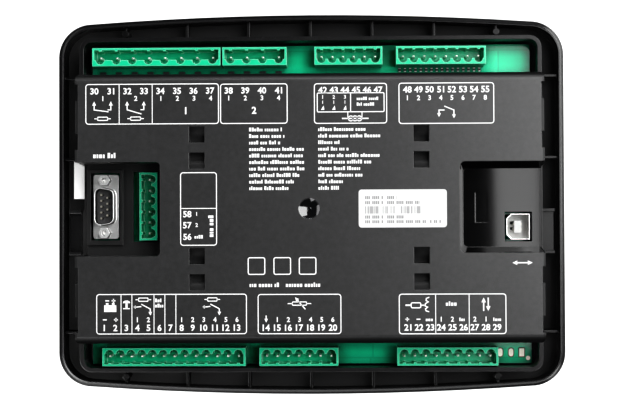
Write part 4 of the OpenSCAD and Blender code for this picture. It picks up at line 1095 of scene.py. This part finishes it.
pipe_clear.wear(
    base_color=pipe_clear.tint(cast, (0.85, 0.87, 0.88), (0.94, 0.95, 0.96)),
    roughness=0.1 + 0.1 * cast,
)
paint(pipe_clear, "light_pipes")
lamp_lens = Finish("lamp_lens", ior=1.5)
phosphor = lamp_lens.noise(0.6 * MM, 2)
lamp_lens.wear(
    base_color=lamp_lens.tint(phosphor, (0.74, 0.70, 0.42), (0.88, 0.86, 0.66)),
    roughness=0.3 + 0.1 * phosphor,
)
paint(lamp_lens, "lamps")


# Keys: moulded rubber-touch caps on stems, each with its own printed sign on the face. Stop
# is red, start is green, and the rest are grey.
def key_cap(name, dark, light, sign):
    low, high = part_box(name)
    cap = Finish(name + "_cap", ior=1.5, specular_ior_level=0.4)
    skin = cap.noise(0.3 * MM, 2)
    across = cap.axis("X") / MM - (low.x + high.x) / 2 / MM
    up = cap.axis("Z") / MM - (low.z + high.z) / 2 / MM
    printed = sign(across, up) * cap.within("Y", low.y / MM - 0.1, low.y / MM + 0.1)
    cap.wear(
        base_color=cap.tint(printed, cap.tint(skin, dark, light), (0.78, 0.78, 0.78)),
        roughness=0.46 + 0.12 * skin - 0.08 * printed,
        normal=cap.bump(skin, 0.008 * MM, 0.5),
    )
    paint(cap, name)


def radius(x, z):
    return (x**2.0 + z**2.0) ** 0.5


def hoop(x, z, size=3.6, width=0.4):
    return abs(radius(x, z) - size) < width


def wedge(x, z):
    return (z > -2.2) * (abs(x) < (2.6 - z) * 0.6)


def bar_sign(x, z, wide, tall):
    return (abs(x) < wide) * (abs(z) < tall)


GREY_DARK, GREY_LIGHT = (0.10, 0.105, 0.11), (0.14, 0.145, 0.15)
RED_DARK, RED_LIGHT = (0.30, 0.014, 0.012), (0.38, 0.024, 0.02)
GREEN_DARK, GREEN_LIGHT = (0.014, 0.15, 0.045), (0.024, 0.20, 0.065)
SIGNS = {
    "key_up": lambda x, z: wedge(x, z),
    "key_down": lambda x, z: wedge(x, 0.0 - z),
    "key_left": lambda x, z: wedge(z, 0.0 - x),
    "key_right": lambda x, z: wedge(z, x),
    "key_enter": lambda x, z: hoop(x, z, 2.4, 0.45),
    "key_manual": lambda x, z: bar_sign(x, z - 1.2, 0.7, 2.4) | bar_sign(x, z + 2.2, 2.4, 1.2),
    "key_test": lambda x, z: hoop(x, z) | (radius(x, z) < 1.5),
    "key_auto": lambda x, z: hoop(x, z) * (abs(z + x) > 1.4)
    | wedge((x - 2.6) * 1.8, (z - 2.4) * 1.8),
    "key_mute": lambda x, z: bar_sign(x + 1.8, z, 1.0, 1.2)
    | (x > -1.0) * (x < 1.2) * (abs(z) < 1.2 + (x + 1.0) * 0.8)
    | (abs(x - z) < 0.4) * (abs(x) < 3.4),
    "key_mains": lambda x, z: (abs(abs(x) - (3.6 - z) * 0.38) < 0.36) * (abs(z) < 3.6)
    | bar_sign(x, z - 0.2, 2.6, 0.3),
    "key_generator": lambda x, z: hoop(x, z)
    | (abs(z - x * (1.9 - abs(x)) * 1.1) < 0.4) * (abs(x) < 2.1),
}
for name, sign in SIGNS.items():
    key_cap(name, GREY_DARK, GREY_LIGHT, sign)
key_cap("key_stop", RED_DARK, RED_LIGHT, lambda x, z: hoop(x, z, 3.4, 0.5))
key_cap("key_start", GREEN_DARK, GREEN_LIGHT, lambda x, z: bar_sign(x, z, 0.5, 3.4))

# Edge strips: bright panels round the part and a small one close to its lower corner. They
# light only the black housing and the terminals' pins, mostly as reflections along edges. The
# panel above the part leaves the housing out, so that its upper rim stays dark.
strip_lit = bpy.data.collections.new("strip_lit")
for name in ("front_housing", "terminal_pins"):
    strip_lit.objects.link(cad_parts[name])
for name, place, size, power in (
    ("strip_right", (-1.0, 0.3, 0.5), (0.6, 1.2), 18),
    ("strip_low", (0.2, 0.5, -1.0), (1.6, 0.9), 14),
    ("strip_left", (1.0, 0.5, -0.6), (1.0, 0.9), 5),
    ("strip_top", (-0.2, 0.2, 1.0), (1.6, 0.3), 1.2),
    ("strip_low_right", (-0.75, 0.35, -0.65), (0.5, 0.5), 7),
    ("strip_corner", (0.24, 0.2, -0.18), (0.2, 0.12), 0.9),
):
    strip = soft_panel(name, place, size, power)
    strip.visible_diffuse = False
    strip.light_linking.receiver_collection = strip_lit
    strip.data.use_shadow = name != "strip_corner"
beside_housing = bpy.data.collections.new("beside_housing")
beside_housing.objects.link(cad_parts["front_housing"])
beside_housing.collection_objects[0].light_linking.link_state = "EXCLUDE"
panel_top.light_linking.receiver_collection = beside_housing

# Floor: a plain sheet of pale card under the part, out of the main view. It throws no light
# or shadow on the part, so that the panels alone shape its gloss.
floor_card = Finish("floor_card")
floor_grain = floor_card.noise(40 * MM, 2)
floor_card.wear(
    base_color=floor_card.tint(floor_grain, (0.82, 0.82, 0.82), (0.86, 0.86, 0.86)),
    roughness=0.8 + 0.1 * floor_grain,
)
FLOOR_HALF, FLOOR_LEVEL = 0.8, -0.26
CORNERS = ((-1, -1), (1, -1), (1, 1), (-1, 1))
floor_mesh = bpy.data.meshes.new("floor")
floor_mesh.from_pydata(
    [(x * FLOOR_HALF, y * FLOOR_HALF, FLOOR_LEVEL) for x, y in CORNERS], [], [(0, 1, 2, 3)]
)
floor_mesh.materials.append(floor_card.material)
floor = bpy.data.objects.new("floor", floor_mesh)
scene.collection.objects.link(floor)
floor.visible_glossy = floor.visible_diffuse = floor.visible_shadow = False
